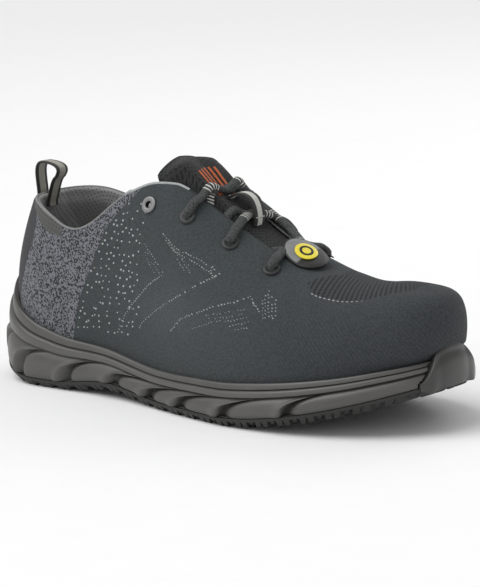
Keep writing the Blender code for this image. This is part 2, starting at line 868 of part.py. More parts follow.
def make_insole():
    """The removable insole on the floor of the tray."""
    turns = [k / TURNS for k in range(TURNS + 1)]
    rings = []
    for inset, lift in ((0.0, 0.0), (0.0, 0.6), (0.0012, 1.0)):

        def place(turn, side):
            point = outline(turn, side, SOLE_FLARE + RIM_WALL + WALL + 3 * FIT_GAP + inset)
            point.z = bed_z(point.x) + FIT_GAP + INSOLE_THICKNESS * lift
            return point

        rings.append(round_the_shoe(turns, place))
    return solid_of_rings("insole", "lining", rings)


def lace_strand(last, name, number, side, lean, sink):
    """A strand from a lace hole over the tongue and down inside the other edge."""
    start, start_up = hole_spot(HOLES[number], side)
    far, _ = hole_spot(HOLES[number], -side)
    beyond, _ = hole_spot(HOLES[number - 1 if lean > 0 else number + 1], -side)
    goal = far.lerp(beyond, abs(lean))
    edge = axis_y(share_of(goal.x)) - side * (throat_half(share_of(goal.x)) - LACE_END_GAP)
    path, ups = [], []
    steps = 8
    for k in range(steps + 1):
        share = k / steps
        rise = (
            LACE_THICKNESS / 2
            + 2 * FIT_GAP
            + RING_THICKNESS
            - sink * math.sin(math.pi * max(0.0, (share - 0.30) / 0.70)) ** 2
            - (LACE_THICKNESS + 0.0002) * ease((share - 0.42) / 0.50)
        )
        x = start.x + (goal.x - start.x) * share
        y = start.y + (edge - start.y) * share
        point, up = on_last(last, x, y, rise) if k else (start + start_up * rise, start_up)
        path.append(point)
        ups.append(up)
    return swept(name, "cord", path, ups, LACE_WIDTH, LACE_THICKNESS)


def make_laces(last):
    """The strands over the tongue, joined where they cross."""
    for name, sink, leans in (
        ("lace_top", 0.0, ((1, -0.20),)),
        ("lace_middle", 0.0012, ((2, 0.40),)),
        ("lace_low", 0.0022, ((3, 0.32),)),
    ):
        strands = []
        for number, lean in leans:
            for side in (LATERAL, MEDIAL):
                word = name if not strands else f"{name}_strand_{len(strands)}"
                strands.append(lace_strand(last, word, number, side, lean, sink))
        for strand in strands[1:]:
            strand.hide_render = True
            strand.display_type = "WIRE"
            join = strands[0].modifiers.new(strand.name, "BOOLEAN")
            join.operation = "UNION"
            join.solver = "EXACT"
            join.object = strand


def make_keeper(last):
    """The stitched webbing bridge on the tongue that the middle crossing runs under."""
    path, ups = [], []
    steps = 12
    sink = WALL + TONGUE_GAP
    for k in range(steps + 1):
        share = k / steps
        along = KEEPER_ALONG + (share - 0.5) * KEEPER_LENGTH / SOLE_LENGTH
        arch = ease(share / 0.30) * ease((1 - share) / 0.30)
        rise = WEBBING_THICKNESS / 2 + FIT_GAP - sink + (sink + KEEPER_RISE) * arch
        point, up = on_last(last, shoe_x(along), axis_y(along), rise)
        path.append(point)
        ups.append(up)
    swept("lace_keeper", "webbing", path, ups, WEBBING_WIDTH, WEBBING_THICKNESS, sides=4)


def heel_up(height):
    """How far up the heel's middle line a height lies."""
    low, high = 0.0, 1.0
    for _ in range(30):
        middle = (low + high) / 2
        if last_point(0.0, LATERAL, middle).z < height:
            low = middle
        else:
            high = middle
    return low


def make_pull_loop():
    """The webbing loop that stands over the back of the collar."""
    top = top_up(0.0, LATERAL)
    collar = last_point(0.0, LATERAL, top)
    gap = WEBBING_THICKNESS / 2 + 1.5 * FIT_GAP
    outside, inside = [], []
    for drop in (PULL_LOOP_DROP, PULL_LOOP_DROP / 2, 0.001):
        up = heel_up(collar.z - drop)
        point, normal = last_point(0.0, LATERAL, up), last_normal(0.0, LATERAL, up)
        outside.append(point + normal * gap)
        inside.append(point - normal * (wall_thickness(0.0, LATERAL, up, top) + 2 * gap))
    back, front = outside[-1], inside[-1]
    middle, reach = (back + front) / 2, (front.x - back.x) / 2
    path = list(outside)
    steps = 9
    for k in range(1, steps):
        angle = math.pi * (1 - k / steps)
        wide = reach + PULL_LOOP_SWELL * math.sin(angle) * (0.2 if angle > math.pi / 2 else 1.0)
        rise = PULL_LOOP_RISE * math.sin(angle) ** 0.8
        path.append(Vector((middle.x + wide * math.cos(angle), 0, collar.z + 0.002 + rise)))
    path += inside[::-1]
    ups = []
    for k in range(len(path)):
        along = path[min(k + 1, len(path) - 1)] - path[max(k - 1, 0)]
        ups.append(along.cross(Vector((0, 1, 0))))
    swept("heel_loop", "webbing", path, ups, WEBBING_WIDTH, WEBBING_THICKNESS, sides=4)


def make_tag(last):
    """The oval tag at the foot of the throat, lifted over the lowest strands, and its plain disc."""
    centre, middle = shoe_x(TAG_ALONG), axis_y(TAG_ALONG)

    def surface(x, y, lift):
        """A point over the upper, raised where the lace runs under the tag."""
        raised = TAG_LIFT * ease((shoe_x(TAG_RAMP) - x) / TAG_RAMP_LENGTH)
        return on_last(last, x, y, lift + raised)[0]

    for name, slot, long, wide, floor, thick, rings in (
        ("throat_tag", "tag", TAG_LENGTH / 2, TAG_HALF_WIDTH, FIT_GAP, TAG_THICKNESS, 3),
        ("tag_disc", "disc", DISC_RADIUS, DISC_RADIUS, 2 * FIT_GAP + TAG_THICKNESS, DISC_THICKNESS, 2),
    ):
        sides = 18
        points, faces = [], []
        for layer in (0, 1):
            lift = floor + thick * layer
            points.append(surface(centre, middle, lift))
            for ring in range(1, rings + 1):
                for n in range(sides):
                    angle = 2 * math.pi * n / sides
                    x = centre + long * ring / rings * math.cos(angle)
                    y = middle + wide * ring / rings * math.sin(angle)
                    points.append(surface(x, y, lift))
        size = 1 + rings * sides
        for layer in (0, 1):
            for n in range(sides):
                after = (n + 1) % sides
                base = layer * size
                faces.append((base, base + 1 + n, base + 1 + after))
                for ring in range(rings - 1):
                    here = base + 1 + ring * sides
                    faces.append((here + n, here + after, here + sides + after, here + sides + n))
        last_ring = 1 + (rings - 1) * sides
        for n in range(sides):
            here, there = last_ring + n, last_ring + (n + 1) % sides
            faces.append((here, there, there + size, here + size))
        finished(name, slot, points, faces)


def make_toe_guard():
    """The rubber guard that wraps the toe, from the tread's lip to over the rim."""
    turns = (GUARD_TURN + 0.004,) + TOE_TURNS
    points, faces = [], []
    rows = (
        (0.00, -GUARD_OUT),
        (0.35, -GUARD_OUT),
        (0.72, 0.0006),
        (0.97, GUARD_TIP_INSET - GUARD_TIP_WALL - 0.0004),
        (1.00, GUARD_TIP_INSET - 0.5 * GUARD_TIP_WALL),
        (0.98, GUARD_TIP_INSET),
        (0.62, GUARD_INSET),
        (0.00, GUARD_INSET),
    )
    places = [(turn, LATERAL) for turn in turns] + [(1.0, LATERAL)]
    places += [(turn, MEDIAL) for turn in reversed(turns)]
    columns = len(places) - 1
    for turn, side in places:
        inward = (turn - turns[0]) / (1 - turns[0])
        swell = 0.08 + 0.92 * ease(inward / 0.42)
        for share, inset in rows:
            point = outline(turn, side, inset)
            foot, rim = plate_z(point.x) + LIP_RISE + 2 * FIT_GAP, rim_z(point.x, turn)
            height = foot + (rim + GUARD_RISE - foot) * swell * share
            if inset < GUARD_INSET:
                inset = GUARD_INSET + (inset - GUARD_INSET) * (0.45 + 0.55 * ease(inward / 0.2))
            else:
                over = ease((height - rim - GUARD_CLEAR) / (GUARD_RISE - GUARD_CLEAR))
                top_edge = 0.5 * GUARD_TIP_WALL * (1 - over) if share == 1.0 else 0.0
                inset = GUARD_INSET + (inset - GUARD_INSET) * over - top_edge
            point = outline(turn, side, inset)
            point.z = height
            points.append(point)
    count = len(rows)
    for column in range(columns):
        for k in range(count):
            here, there = column * count, (column + 1) * count
            faces.append((here + k, here + (k + 1) % count, there + (k + 1) % count, there + k))
    faces.append(tuple(range(count)))
    faces.append(tuple(range(columns * count, (columns + 1) * count)))
    return finished("toe_guard", "rubber", points, faces)


def main():
    """Builds the shoe in an empty scene."""
    for obj in list(bpy.data.objects):
        bpy.data.objects.remove(obj)
    last = closed_last()
    upper = make_upper()
    make_midsole()
    make_outsole()
    make_toe_guard()
    make_insole()
    make_tongue()
    make_holes_and_rings(upper)
    make_laces(last)
    make_keeper(last)
    make_tag(last)
    make_pull_loop()


main()
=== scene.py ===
"""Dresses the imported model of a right-foot knit safety sneaker.

Every piece follows the same last as the solids: an outline seen from above, a
ridge seen from the side, and a fan of profiles that rise from one to the other.
Metres, +Z up, +X towards the toe, -Y the outer side of the shoe.
"""

import math
import random
from collections import namedtuple
from functools import lru_cache

import bmesh
import bpy
from mathutils import Matrix, Vector
from mathutils.bvhtree import BVHTree


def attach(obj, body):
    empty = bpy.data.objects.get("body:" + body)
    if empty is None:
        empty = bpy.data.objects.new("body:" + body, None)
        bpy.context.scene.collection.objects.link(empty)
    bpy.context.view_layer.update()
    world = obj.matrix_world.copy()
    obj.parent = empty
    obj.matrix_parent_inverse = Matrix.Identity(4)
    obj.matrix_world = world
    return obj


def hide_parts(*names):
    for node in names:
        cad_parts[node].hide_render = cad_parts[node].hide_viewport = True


bl_info = {
    "name": "Safety Sneaker Dress",
    "version": (1, 0, 0),
    "blender": (4, 5, 0),
    "location": "View3D > Sidebar > Sneaker",
    "description": "Dresses the solids of a knit safety sneaker with its fine surfaces",
    "category": "Add Mesh",
}

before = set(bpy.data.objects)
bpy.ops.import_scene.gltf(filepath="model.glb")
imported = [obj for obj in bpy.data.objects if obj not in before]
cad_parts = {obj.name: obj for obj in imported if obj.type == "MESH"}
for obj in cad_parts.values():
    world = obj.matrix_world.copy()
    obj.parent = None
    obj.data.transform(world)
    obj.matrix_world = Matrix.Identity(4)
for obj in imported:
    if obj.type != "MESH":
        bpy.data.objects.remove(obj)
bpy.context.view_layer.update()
BODY = "root"


def table(columns, *rows):
    """Rows of measures, each read by the names of its columns."""
    row = namedtuple("Row", columns)
    return tuple(row(*values) for values in rows)


# Overall sizes of the shoe.
SOLE_LENGTH = 0.304
BALL_WIDTH = 0.112
INSTEP_HEIGHT = 0.1468
COLLAR_HEIGHT = 0.1024
RIM_HEIGHT = 0.0408
HEEL_REST = 0.046
FIT_GAP = 0.0004

# Heights of the sole.
HEEL_CUP_RISE = 0.010
HEEL_BEVEL = 0.011
HEEL_REAR = 0.13
ARCH_RISE = 0.004
ARCH_START = 0.19
ARCH_END = 0.47
ARCH_RAMP = 0.14
TOE_SPRING = 0.023
TOE_START = 0.63
SOLE_FLARE = 0.004
RIM_WALL = 0.0024

# The rubber outsole under the foam, its lugs, and the guard round the toe.
TREAD_PLATE = 0.0016
LUG_DEPTH = 0.0024
LUG_PITCH = 0.0130
LUG_SHARE = 0.54
LUG_SLOPE = 0.0006
LUG_SPLIT = 0.42
LUG_INSET = 0.0026
LIP_RISE = 0.0008
LIP_WALL = 0.0016
GUARD_TURN = 0.880
GUARD_TOP = 0.0062
GUARD_SHORTER = 0.023
GUARD_CLEAR = 0.0010
GUARD_OUT = 0.0008
GUARD_INSET = 0.0032
GUARD_TIP_INSET = 0.0036
GUARD_TIP_WALL = 0.0018

# The knit upper.
WALL = 0.0026
COLLAR_PAD = 0.0030
THROAT_END = 0.214
HOLE_RADIUS = 0.0030
RING_BORE = 0.0020
RING_BARREL = 0.0027
RING_FLANGE = 0.0046
RING_THICKNESS = 0.0008
HOLE_CUT = 0.014

# What fills the throat and the heel.
TONGUE_THICKNESS = 0.0050
TONGUE_GAP = 0.0009
TONGUE_BULGE = 0.0034
BULGE_END = 0.545
BULGE_EDGE = 0.012
FREE_END = 0.485
DROOP_END = 0.496
TONGUE_EDGE = 0.0024
LACE_WIDTH = 0.0054
LACE_THICKNESS = 0.0038
LACE_END_GAP = 0.0020
WEBBING_THICKNESS = 0.0013
LOOP_RISE = 0.0172
PULL_LOOP_DROP = 0.012
LOOP_SWELL = 0.0200
LOOP_WIDTH = 0.0088
KEEPER_ALONG = 0.574
KEEPER_RISE = 0.0075
TAG_ALONG = 0.6955
TAG_ASIDE = 0.0035
TAG_TILT = 0.15
TAG_LENGTH = 0.0255
TAG_HALF_WIDTH = 0.0105
TAG_THICKNESS = 0.0011
TAG_LIFT = 0.0012
TAG_RAMP = 0.7155
TAG_RAMP_LENGTH = 0.013
DISC_RADIUS = 0.0060
DISC_THICKNESS = 0.0006
MARK_SHARE = 0.62
MARK_HOLE = 0.0024
MARK_THICKNESS = 0.0002

# Rows of the solid tongue, which its edges are rounded over.
TONGUE_SOLID_ROWS = 13
TONGUE_PACE = 1.15
# The mesh stands prouder and squarer in the throat than the solid under it.
PUFF = 0.0024
PUFF_END = 0.590
MESH_FLAT = 0.86
MESH_END = 0.600
MESH_EDGE = 0.0038
MESH_WIDE = 0.009
MESH_DROOP = 0.0036
DOME_FALL = 0.0108
DOME_REACH = 0.0225
DOME_BACK = 0.009
STRIPES = 5
STRIPE_FIRST = -0.27
STRIPE_GAP = 0.11
STRIPE_LOW = 0.512
STRIPE_HIGH = 0.545
STRIPE_WIDTH = 0.0014

# How far the knit stands out over the toe's cap.
TOE_PUFF = 0.0038

# The keeper's arch is set a little further back than its solid and is shorter.
KEEPER_BACK = 0.0045
KEEPER_SPAN = 0.0190
KEEPER_WIDTH = 0.0090

# How a strand goes on under the far edge: sideways and down.
LACE_TUCK = ((0.0026, 0.0022), (0.0065, 0.0056), (0.0100, 0.0092))

# The lace's end, tucked along the inner edge of the throat: X and distance from the middle.
LACE_RUN = (
    (0.1095, 0.0100), (0.1155, 0.0140), (0.127, 0.0150),
    (0.140, 0.0135), (0.150, 0.0090), (0.159, 0.0040),
)

# Each lace crossing: its node, the pair of holes, how far it sinks and how far it leans.
LACES = (
    ("lace_top", 1, 0.0, -0.20),
    ("lace_middle", 2, 0.0012, 0.40),
    ("lace_low", 3, 0.0022, 0.32),
)

# The camera, by the photograph's frame, and the studio light.
PHOTO_HEIGHT = 587
FILM_HEIGHT = 36.0
FLOOR_SIZE = 24.0
CAMERA_AZIMUTH = math.radians(40.9022)
CAMERA_HEIGHT = math.radians(11.1314)
CAMERA_ROLL = math.radians(-2.0827)
CAMERA_DISTANCE = 1.3768
CAMERA_SCALE = 1841.89
CAMERA_TARGET = (0.117854, 0.0, 0.058416)
SKY_STRENGTH = 0.50
SUN_STRENGTH = 1.5
SUN_TILT = (-0.35, -0.45, 1.0)
SUN_SOFTNESS = math.radians(50)
LAMPS = (
    ("key", (-0.9, -1.3, 1.5), (1.0, 1.0), 7.0),
    ("fill", (1.6, -1.2, 0.9), (1.2, 1.2), 2.5),
    ("rim", (0.2, 1.4, 1.2), (1.4, 0.8), 4.0),
)

# The sides of the shoe, by the sign of Y.
LATERAL = -1
MEDIAL = 1
SIDES = ((LATERAL, "outer"), (MEDIAL, "inner"))

# Outline of the sole: share of the length, half widths as shares of the ball width.
OUTLINE = table(
    "along lateral medial",
    (0.00, 0.370, 0.370), (0.14, 0.375, 0.370), (0.28, 0.365, 0.335), (0.42, 0.400, 0.325),
    (0.54, 0.465, 0.380), (0.65, 0.510, 0.450), (0.76, 0.505, 0.475), (0.88, 0.470, 0.470),
    (1.00, 0.410, 0.440),
)
HEEL_ROUND = 0.150
HEEL_POWER = 2.15
TOE_ROUND = 0.275
TOE_POWER = 2.30
TOE_SWING = 0.004

# Ridge of the last, seen from the side: share of the length, share of the instep height.
RIDGE = table(
    "along height",
    (0.060, 1.0000), (0.200, 1.0000), (0.280, 0.9659), (0.345, 0.9319), (0.395, 0.9080),
    (0.440, 0.8774), (0.480, 0.8331), (0.530, 0.7595), (0.590, 0.6778), (0.660, 0.5960),
    (0.724, 0.5402), (0.760, 0.5177), (0.803, 0.5000), (0.845, 0.4980), (0.888, 0.5048),
    (0.935, 0.5027),
)

# How the profiles fan from heel (0) to toe (1): where each one meets the ridge,
# how far it runs straight up, how flat it lies across the top, and how far each
# side swells out over the sole, as a share of the ball width.
FAN = table(
    "turn ridge rise flat lateral medial",
    (0.00, 0.150, 0.30, 0.20, 0.0134, 0.0134), (0.18, 0.175, 0.38, 0.42, 0.0268, 0.0357),
    (0.30, 0.215, 0.54, 0.64, 0.0446, 0.0982), (0.42, 0.335, 0.56, 0.68, 0.0446, 0.1429),
    (0.50, 0.450, 0.56, 0.60, 0.0357, 0.1339), (0.60, 0.605, 0.58, 0.54, 0.0268, 0.0714),
    (0.70, 0.735, 0.62, 0.56, 0.0268, 0.0357), (0.80, 0.830, 0.68, 0.66, 0.0312, 0.0312),
    (0.90, 0.905, 0.80, 0.78, 0.0580, 0.0536), (1.00, 0.937, 0.84, 0.80, 0.0714, 0.0714),
)

# Top line of the collar: share of the length, share of the collar height on each side.
COLLAR = table(
    "along lateral medial",
    (0.04, 1.0000, 1.0000), (0.09, 0.9941, 1.0156), (0.13, 0.9697, 1.0117), (0.17, 0.9307, 0.9795),
    (0.21, 0.8848, 0.9404), (0.245, 0.8818, 0.9307), (0.28, 0.9307, 0.9648), (0.32, 1.0234, 1.0381),
    (0.36, 1.1113, 1.1113), (0.40, 1.1748, 1.1748), (0.44, 1.1943, 1.1943), (0.52, 1.1992, 1.1992),
)

# Half width of the throat, as shares of the ball width.
THROAT = table(
    "along half",
    (0.36, 0.200), (0.41, 0.182), (0.48, 0.160), (0.56, 0.138), (0.64, 0.118), (0.74, 0.100),
)
THROAT_ROUND = 0.016
CORNER_ROUND = 0.004

# Lace holes: turn of the profile each one sits on, and how far below the edge on each side,
# as a share of the ball width.
HOLES = table(
    "turn lateral medial",
    (0.450, 0.1027, 0.1027), (0.513, 0.1295, 0.1295), (0.575, 0.1116, 0.1205),
    (0.637, 0.1205, 0.1027),
)

# Height of the foam's rim over the tread, and of the floor the foot stands over, as shares
# of the rim's height at the heel.
SIDE = table(
    "along height bed",
    (0.00, 1.0000, 0.6691), (0.08, 1.0000, 0.6569), (0.16, 0.8284, 0.6201), (0.26, 0.6446, 0.5466),
    (0.36, 0.5221, 0.4608), (0.48, 0.5147, 0.3750), (0.58, 0.5392, 0.3431), (0.68, 0.5637, 0.3382),
    (0.78, 0.5392, 0.3260), (0.90, 0.4730, 0.2892), (1.00, 0.4240, 0.2525),
)

# Scallops of the foam's side: how far they sweep, how deep and wide they are, and where they start.
SCALLOP_SWEEP = 0.060
SCALLOP_DEPTH = 0.0030
SCALLOP_WIDTH = 0.009
SCALLOPS = (0.105, 0.205, 0.310, 0.398, 0.462, 0.520, 0.592, 0.688)

# Half width of the tongue by turn, as a share of the ball width.
TONGUE = table(
    "turn half",
    (0.472, 0.2321), (0.478, 0.2857), (0.492, 0.3125), (0.530, 0.2946), (0.600, 0.2500),
    (0.660, 0.2054), (0.730, 0.1518),
)

# Rows up the side of the foam, finer than the solid's: share of the wall, how far it
# stands out for the rim's height, how strongly the scallops show and how far they sweep.
WALL_ROWS = table(
    "rise out relief sweep",
    (0.000, 0.000, 1.00, 0.00), (0.050, 0.014, 1.00, 0.00), (0.120, 0.025, 1.00, 0.01),
    (0.200, 0.031, 1.00, 0.03), (0.280, 0.034, 0.97, 0.08), (0.350, 0.034, 0.90, 0.15),
    (0.410, 0.030, 0.80, 0.27), (0.460, 0.024, 0.66, 0.42), (0.500, 0.016, 0.50, 0.60),
    (0.535, 0.007, 0.32, 0.78), (0.560, 0.000, 0.18, 0.92), (0.578, -0.002, 0.08, 1.00),
    (0.592, 0.020, 0.00, 1.00), (0.612, 0.034, 0.00, 1.00), (0.660, 0.038, 0.00, 1.00),
    (0.720, 0.038, 0.00, 1.00), (0.762, 0.035, 0.00, 1.00), (0.782, 0.027, 0.00, 1.00),
    (0.792, 0.004, 0.00, 1.00), (0.803, -0.014, 0.00, 1.00), (0.814, -0.004, 0.00, 1.00),
    (0.832, 0.004, 0.00, 1.00), (0.880, 0.003, 0.00, 1.00), (0.945, 0.000, 0.00, 1.00),
    (0.985, -0.004, 0.00, 1.00), (1.000, -0.014, 0.00, 1.00),
)
# Rows that lie in a groove, and how dark their painted shade is; a value below zero is a painted highlight
# on a crest instead.
PAINTED_SHADE_ROWS = {
    0.0: 0.7, 0.05: 0.3, 0.535: 0.35, 0.56: 0.8, 0.578: 1.0, 0.592: 0.5,
    0.66: -0.3, 0.72: -0.3, 0.792: 0.5, 0.803: 0.9, 0.814: 0.5,
}
# How steep a scallop is on its heel side and on its toe side, and how much deeper than the solid's.
SCALLOP_SHARP = 0.50
SCALLOP_SOFT = 1.20
SCALLOP_MORE = 1.25

# Where the knit's patterns lie, in metres along the shoe and up from the floor. The
# speckled heel ends at the first line, and the plain heel cloth at the second.
SPECKLE_EDGE = table(
    "height x",
    (0.030, 0.0235), (0.044, 0.0270), (0.058, 0.0325), (0.079, 0.0425), (0.093, 0.0490),
    (0.103, 0.0575), (0.114, 0.0690), (0.122, 0.0740),
)
HEEL_CLOTH_EDGE = table(
    "height x",
    (0.030, -0.0290), (0.058, -0.0190), (0.074, -0.0125), (0.084, -0.0080), (0.096, -0.0080),
    (0.106, -0.0130),
)
# The lining wraps over the heel's edge down to this line.
WRAP_EDGE = table(
    "height x",
    (0.0860, 0.0150), (0.0880, 0.0050), (0.0930, -0.0040), (0.0980, -0.0110), (0.1010, -0.0160),
)
# Half width of the slit panel over the vamp.
SLIT_PANEL = table(
    "x half",
    (0.179, 0.020), (0.187, 0.0255), (0.201, 0.0250), (0.214, 0.0225), (0.226, 0.0185),
    (0.234, 0.0135), (0.241, 0.0060),
)
SLIT_SLANT = 0.40

# Finishes: how far apart ribs, rungs, hatching and braid lie, and the rows of round holes.
RIB_GAP = 0.00185
RUNG_GAP = 0.0024
HATCH_GAP = 0.0017
BRAID_GAP = 0.0017
ROW_SHARE = 0.87
PINHOLE_SHARE = 0.17
COAT_ROUGHNESS = 0.25
# X of the seam in the heel's lining; in front of it the lining gets painted shade, darker inside the shoe.
LINING_SHADE_SEAM = -0.0215

# Lines of light stitches on the side of the knit: the size of a stitch, then points
# along the shoe and up from the floor, all in millimetres.
LIGHT_LINES = table(
    "size points",
    (0.40, (
        (93.0, 94.3), (99.3, 90.3), (105.6, 87.0), (112.8, 85.6), (121.5, 83.0), (128.7, 80.4),
        (135.7, 77.1)
    )),
    (0.38, ((96.2, 91.3), (103.1, 86.1), (109.9, 84.1), (118.9, 81.6), (127.1, 78.4), (135.0, 75.9))),
    (0.34, ((100.5, 89.1), (106.2, 84.5), (112.4, 81.1), (116.2, 79.5))),
    (0.34, ((106.8, 81.9), (110.2, 79.0), (115.3, 76.3))),
    (0.34, ((107.7, 85.9), (111.6, 81.1), (117.2, 75.8))),
    (0.44, ((130.1, 80.5), (130.3, 76.2), (135.2, 75.3))),
    (0.36, ((80.1, 87.5), (85.1, 83.7), (90.7, 79.0), (94.5, 76.1), (97.5, 73.5))),
    (0.30, ((83.2, 82.9), (87.7, 78.7), (92.2, 75.2), (94.9, 72.8))),
    (0.28, ((81.2, 83.3), (85.5, 77.1), (90.4, 73.0))),
    (0.40, (
        (97.5, 73.5), (89.6, 69.3), (81.7, 63.2), (76.6, 58.5), (71.4, 53.1), (66.4, 48.3),
        (62.5, 42.9), (60.1, 38.4)
    )),
    (0.28, ((93.6, 71.3), (86.7, 67.2), (79.7, 61.6), (72.5, 55.3), (67.2, 50.5))),
    (0.46, ((135.8, 76.9), (130.9, 74.4), (125.1, 71.8), (118.8, 68.2), (111.9, 64.0), (104.0, 59.9))),
    (0.38, ((104.0, 59.9), (95.5, 55.5), (86.9, 50.2), (80.4, 45.2), (76.3, 40.5))),
    (0.44, (
        (104.9, 44.3), (108.7, 47.8), (113.8, 51.9), (120.6, 54.7), (128.0, 57.2), (134.8, 60.0),
        (141.2, 62.1), (148.7, 64.0), (155.2, 66.2), (157.9, 67.2)
    )),
    (0.30, ((123.1, 47.8), (128.9, 49.8), (136.1, 52.7), (143.1, 54.1))),
    (0.30, ((132.8, 56.2), (142.3, 57.8), (150.0, 59.8), (157.3, 61.2))),
    (0.30, ((135.8, 54.6), (146.0, 56.3), (156.5, 59.0))),
    (0.32, ((144.9, 53.6), (152.7, 55.6), (160.1, 57.5))),
    (0.32, ((150.2, 52.3), (157.9, 54.2), (161.4, 55.7))),
    (0.34, ((153.8, 50.7), (162.2, 52.7))),
    (0.38, ((165.7, 70.7), (172.9, 57.2))),
    (0.38, ((169.1, 68.0), (174.7, 57.6))),
    (0.40, ((171.8, 66.4), (176.3, 58.4))),
    (0.34, ((165.4, 68.4), (170.9, 57.3))),
    (0.34, ((165.1, 66.1), (169.6, 57.0))),
    (0.38, ((157.8, 67.5), (161.7, 63.0))),
    (0.40, ((161.2, 64.2), (166.7, 59.8))),
)
# How far apart a line's stitches are, how far they stray and which share is kept.
LINE_GAP = 0.0019
LINE_STRAY = 0.00028
LINE_KEPT = 0.88
FLECK_SINK = 0.00005

# Stitches scattered beside the speckled heel, and those along the slit panel's edge.
SCATTER_ROWS = 19
SCATTER_COLUMNS = 12
SCATTER_LOW = 0.037
SCATTER_STEP = 0.0039
SCATTER_KEPT = 0.80
SCATTER_FAR = 0.078
PANEL_STITCHES = 20
PANEL_START = 0.188
PANEL_STEP = 0.0026

# Soft troughs and ridges of the knit: where each one is centred, how long and wide it
# is, how steeply it leans and how deep it goes.
CREASES = table(
    "x height long wide lean depth",
    (0.172, 0.066, 0.024, 0.0050, 0.9, 0.00055), (0.186, 0.062, 0.022, 0.0045, 1.1, 0.00050),
    (0.200, 0.060, 0.018, 0.0045, 1.3, 0.00035), (0.064, 0.086, 0.020, 0.0060, -0.9, 0.00060),
    (0.030, 0.072, 0.024, 0.0070, -0.2, 0.00050), (0.118, 0.060, 0.030, 0.0090, 0.4, -0.00050),
    (0.004, 0.060, 0.022, 0.0080, -1.2, 0.00040),
)

# Where rays at the last start, over it and beside it.
RAY_TOP = 0.30
RAY_SIDE = 0.20

# Where a bar's end caps lie on its UV map: between two bursts of the tracer.
CAP_SPOT = 0.010

# Fineness of the meshes.
KNIT_COLUMNS = 210
KNIT_ROWS = 44
FOAM_COLUMNS = 290
EDGE_STEPS = 6
TONGUE_COLUMNS = 26
TONGUE_ROWS = 60


def tone(red, green, blue):
    """A colour seen as these three values of 255, as light."""
    return tuple(((part / 255 + 0.055) / 1.055) ** 2.4 for part in (red, green, blue))


def colour(name, words, shade):
    """A colour that can be changed in the panel."""
    return bpy.props.FloatVectorProperty(
        name=name, description=words, subtype="COLOR", size=3, min=0.0, max=1.0, default=tone(*shade)
    )


def length(name, words, size):
    """A size that can be changed in the panel."""
    return bpy.props.FloatProperty(
        name=name, description=words, subtype="DISTANCE", unit="LENGTH", min=0.0, default=size
    )


class SneakerColours(bpy.types.PropertyGroup):
    """Colours of the yarns, foams, rubbers and trims."""

    knit: colour("Knit", "Dark yarn of the upper", (47, 54, 56))
    # The toe knit colour is painted shade: mixed in towards the toe's front, it darkens the knit there.
    toe: colour("Toe knit", "Darker yarn round the toe", (43, 48, 51))
    speckle_light: colour("Speckle light", "Light yarn of the speckled heel", (112, 114, 120))
    speckle_dark: colour("Speckle dark", "Dark yarn of the speckled heel", (40, 42, 47))
    heel_cloth: colour("Heel cloth", "Plain cloth at the back of the heel", (53, 52, 56))
    fleck: colour("Light stitch", "Light stitches of the side pattern", (176, 180, 180))
    lining: colour("Lining", "Perforated lining of the collar", (168, 169, 168))
    wrap: colour("Lining's edge", "Lining where it wraps over the heel's edge", (81, 81, 80))
    foam: colour("Foam", "Moulded foam of the midsole", (78, 77, 75))
    rubber: colour("Rubber", "Tread rubber", (36, 35, 34))
    guard: colour("Toe guard", "Glossier rubber round the toe", (48, 47, 46))
    mesh: colour("Tongue mesh", "Black mesh of the tongue", (34, 35, 36))
    print: colour("Tongue print", "Plain stripes printed on the tongue", (180, 88, 40))
    cord: colour("Lace", "Dark yarn of the laces", (36, 37, 38))
    tracer: colour("Lace tracer", "White yarn woven into the laces", (205, 205, 198))
    tape: colour("Tape", "Dark tape of the keeper and the loop's edges", (28, 28, 27))
    pale: colour("Pale band", "Pale band of the pull loop and the keeper", (160, 157, 146))
    ring: colour("Rings", "Rings of the lace holes", (124, 124, 124))
    tag: colour("Tag", "Silver-grey face of the throat tag", (128, 128, 130))
    disc: colour("Disc", "Plain disc on the tag", (232, 214, 52))
    floor: colour("Floor", "Pale floor", (246, 246, 246))


class SneakerSizes(bpy.types.PropertyGroup):
    """Sizes of the fine surfaces."""

    stitch: length("Stitch", "Width of a knitted stitch", 0.0012)
    fleck: length("Speckle", "Size of a fleck in the speckled heel", 0.00076)
    perforation: length("Perforation gap", "Distance between the lining's pinholes", 0.0027)
    honeycomb: length("Mesh cell", "Distance between the tongue mesh's holes", 0.0026)
    slit: length("Slit gap", "Distance between the slits over the vamp", 0.0029)
    piping: length("Piping", "Radius of the collar's piping", 0.0009)
    lace_width: length("Lace width", "Width of the lace", LACE_WIDTH)
    lace_height: length("Lace height", "Height of the lace", LACE_THICKNESS)


def blend(rows, name, at):
    """A smooth curve through one column of a table, level at both ends."""
    keys = [row[0] for row in rows]
    values = [getattr(row, name) for row in rows]
    at = min(max(at, keys[0]), keys[-1])
    slopes = [0.0] * len(rows)
    for k in range(1, len(rows) - 1):
        slopes[k] = (values[k + 1] - values[k - 1]) / (keys[k + 1] - keys[k - 1])
    k = max(i for i in range(len(rows) - 1) if keys[i] <= at)
    span = keys[k + 1] - keys[k]
    t = (at - keys[k]) / span
    return (
        values[k] * (1 + 2 * t) * (1 - t) ** 2
        + values[k + 1] * t * t * (3 - 2 * t)
        + span * (slopes[k] * t * (1 - t) ** 2 - slopes[k + 1] * t * t * (1 - t))
    )


def ease(value):
    """0 below 0, 1 above 1, and a smooth step between."""
    value = min(max(value, 0.0), 1.0)
    return value * value * (3 - 2 * value)


def shoe_x(along):
    """X of a share of the sole's length."""
    return along * SOLE_LENGTH - HEEL_REST


def share_of(x):
    """Share of the sole's length at an X."""
    return (x + HEEL_REST) / SOLE_LENGTH


def axis_y(along):
    """The shoe's middle line, which swings inwards at the toe."""
    return TOE_SWING * ease((along - 0.45) / 0.55)


def middle_y(x):
    """Y of the middle line at an X."""
    return axis_y(share_of(x))


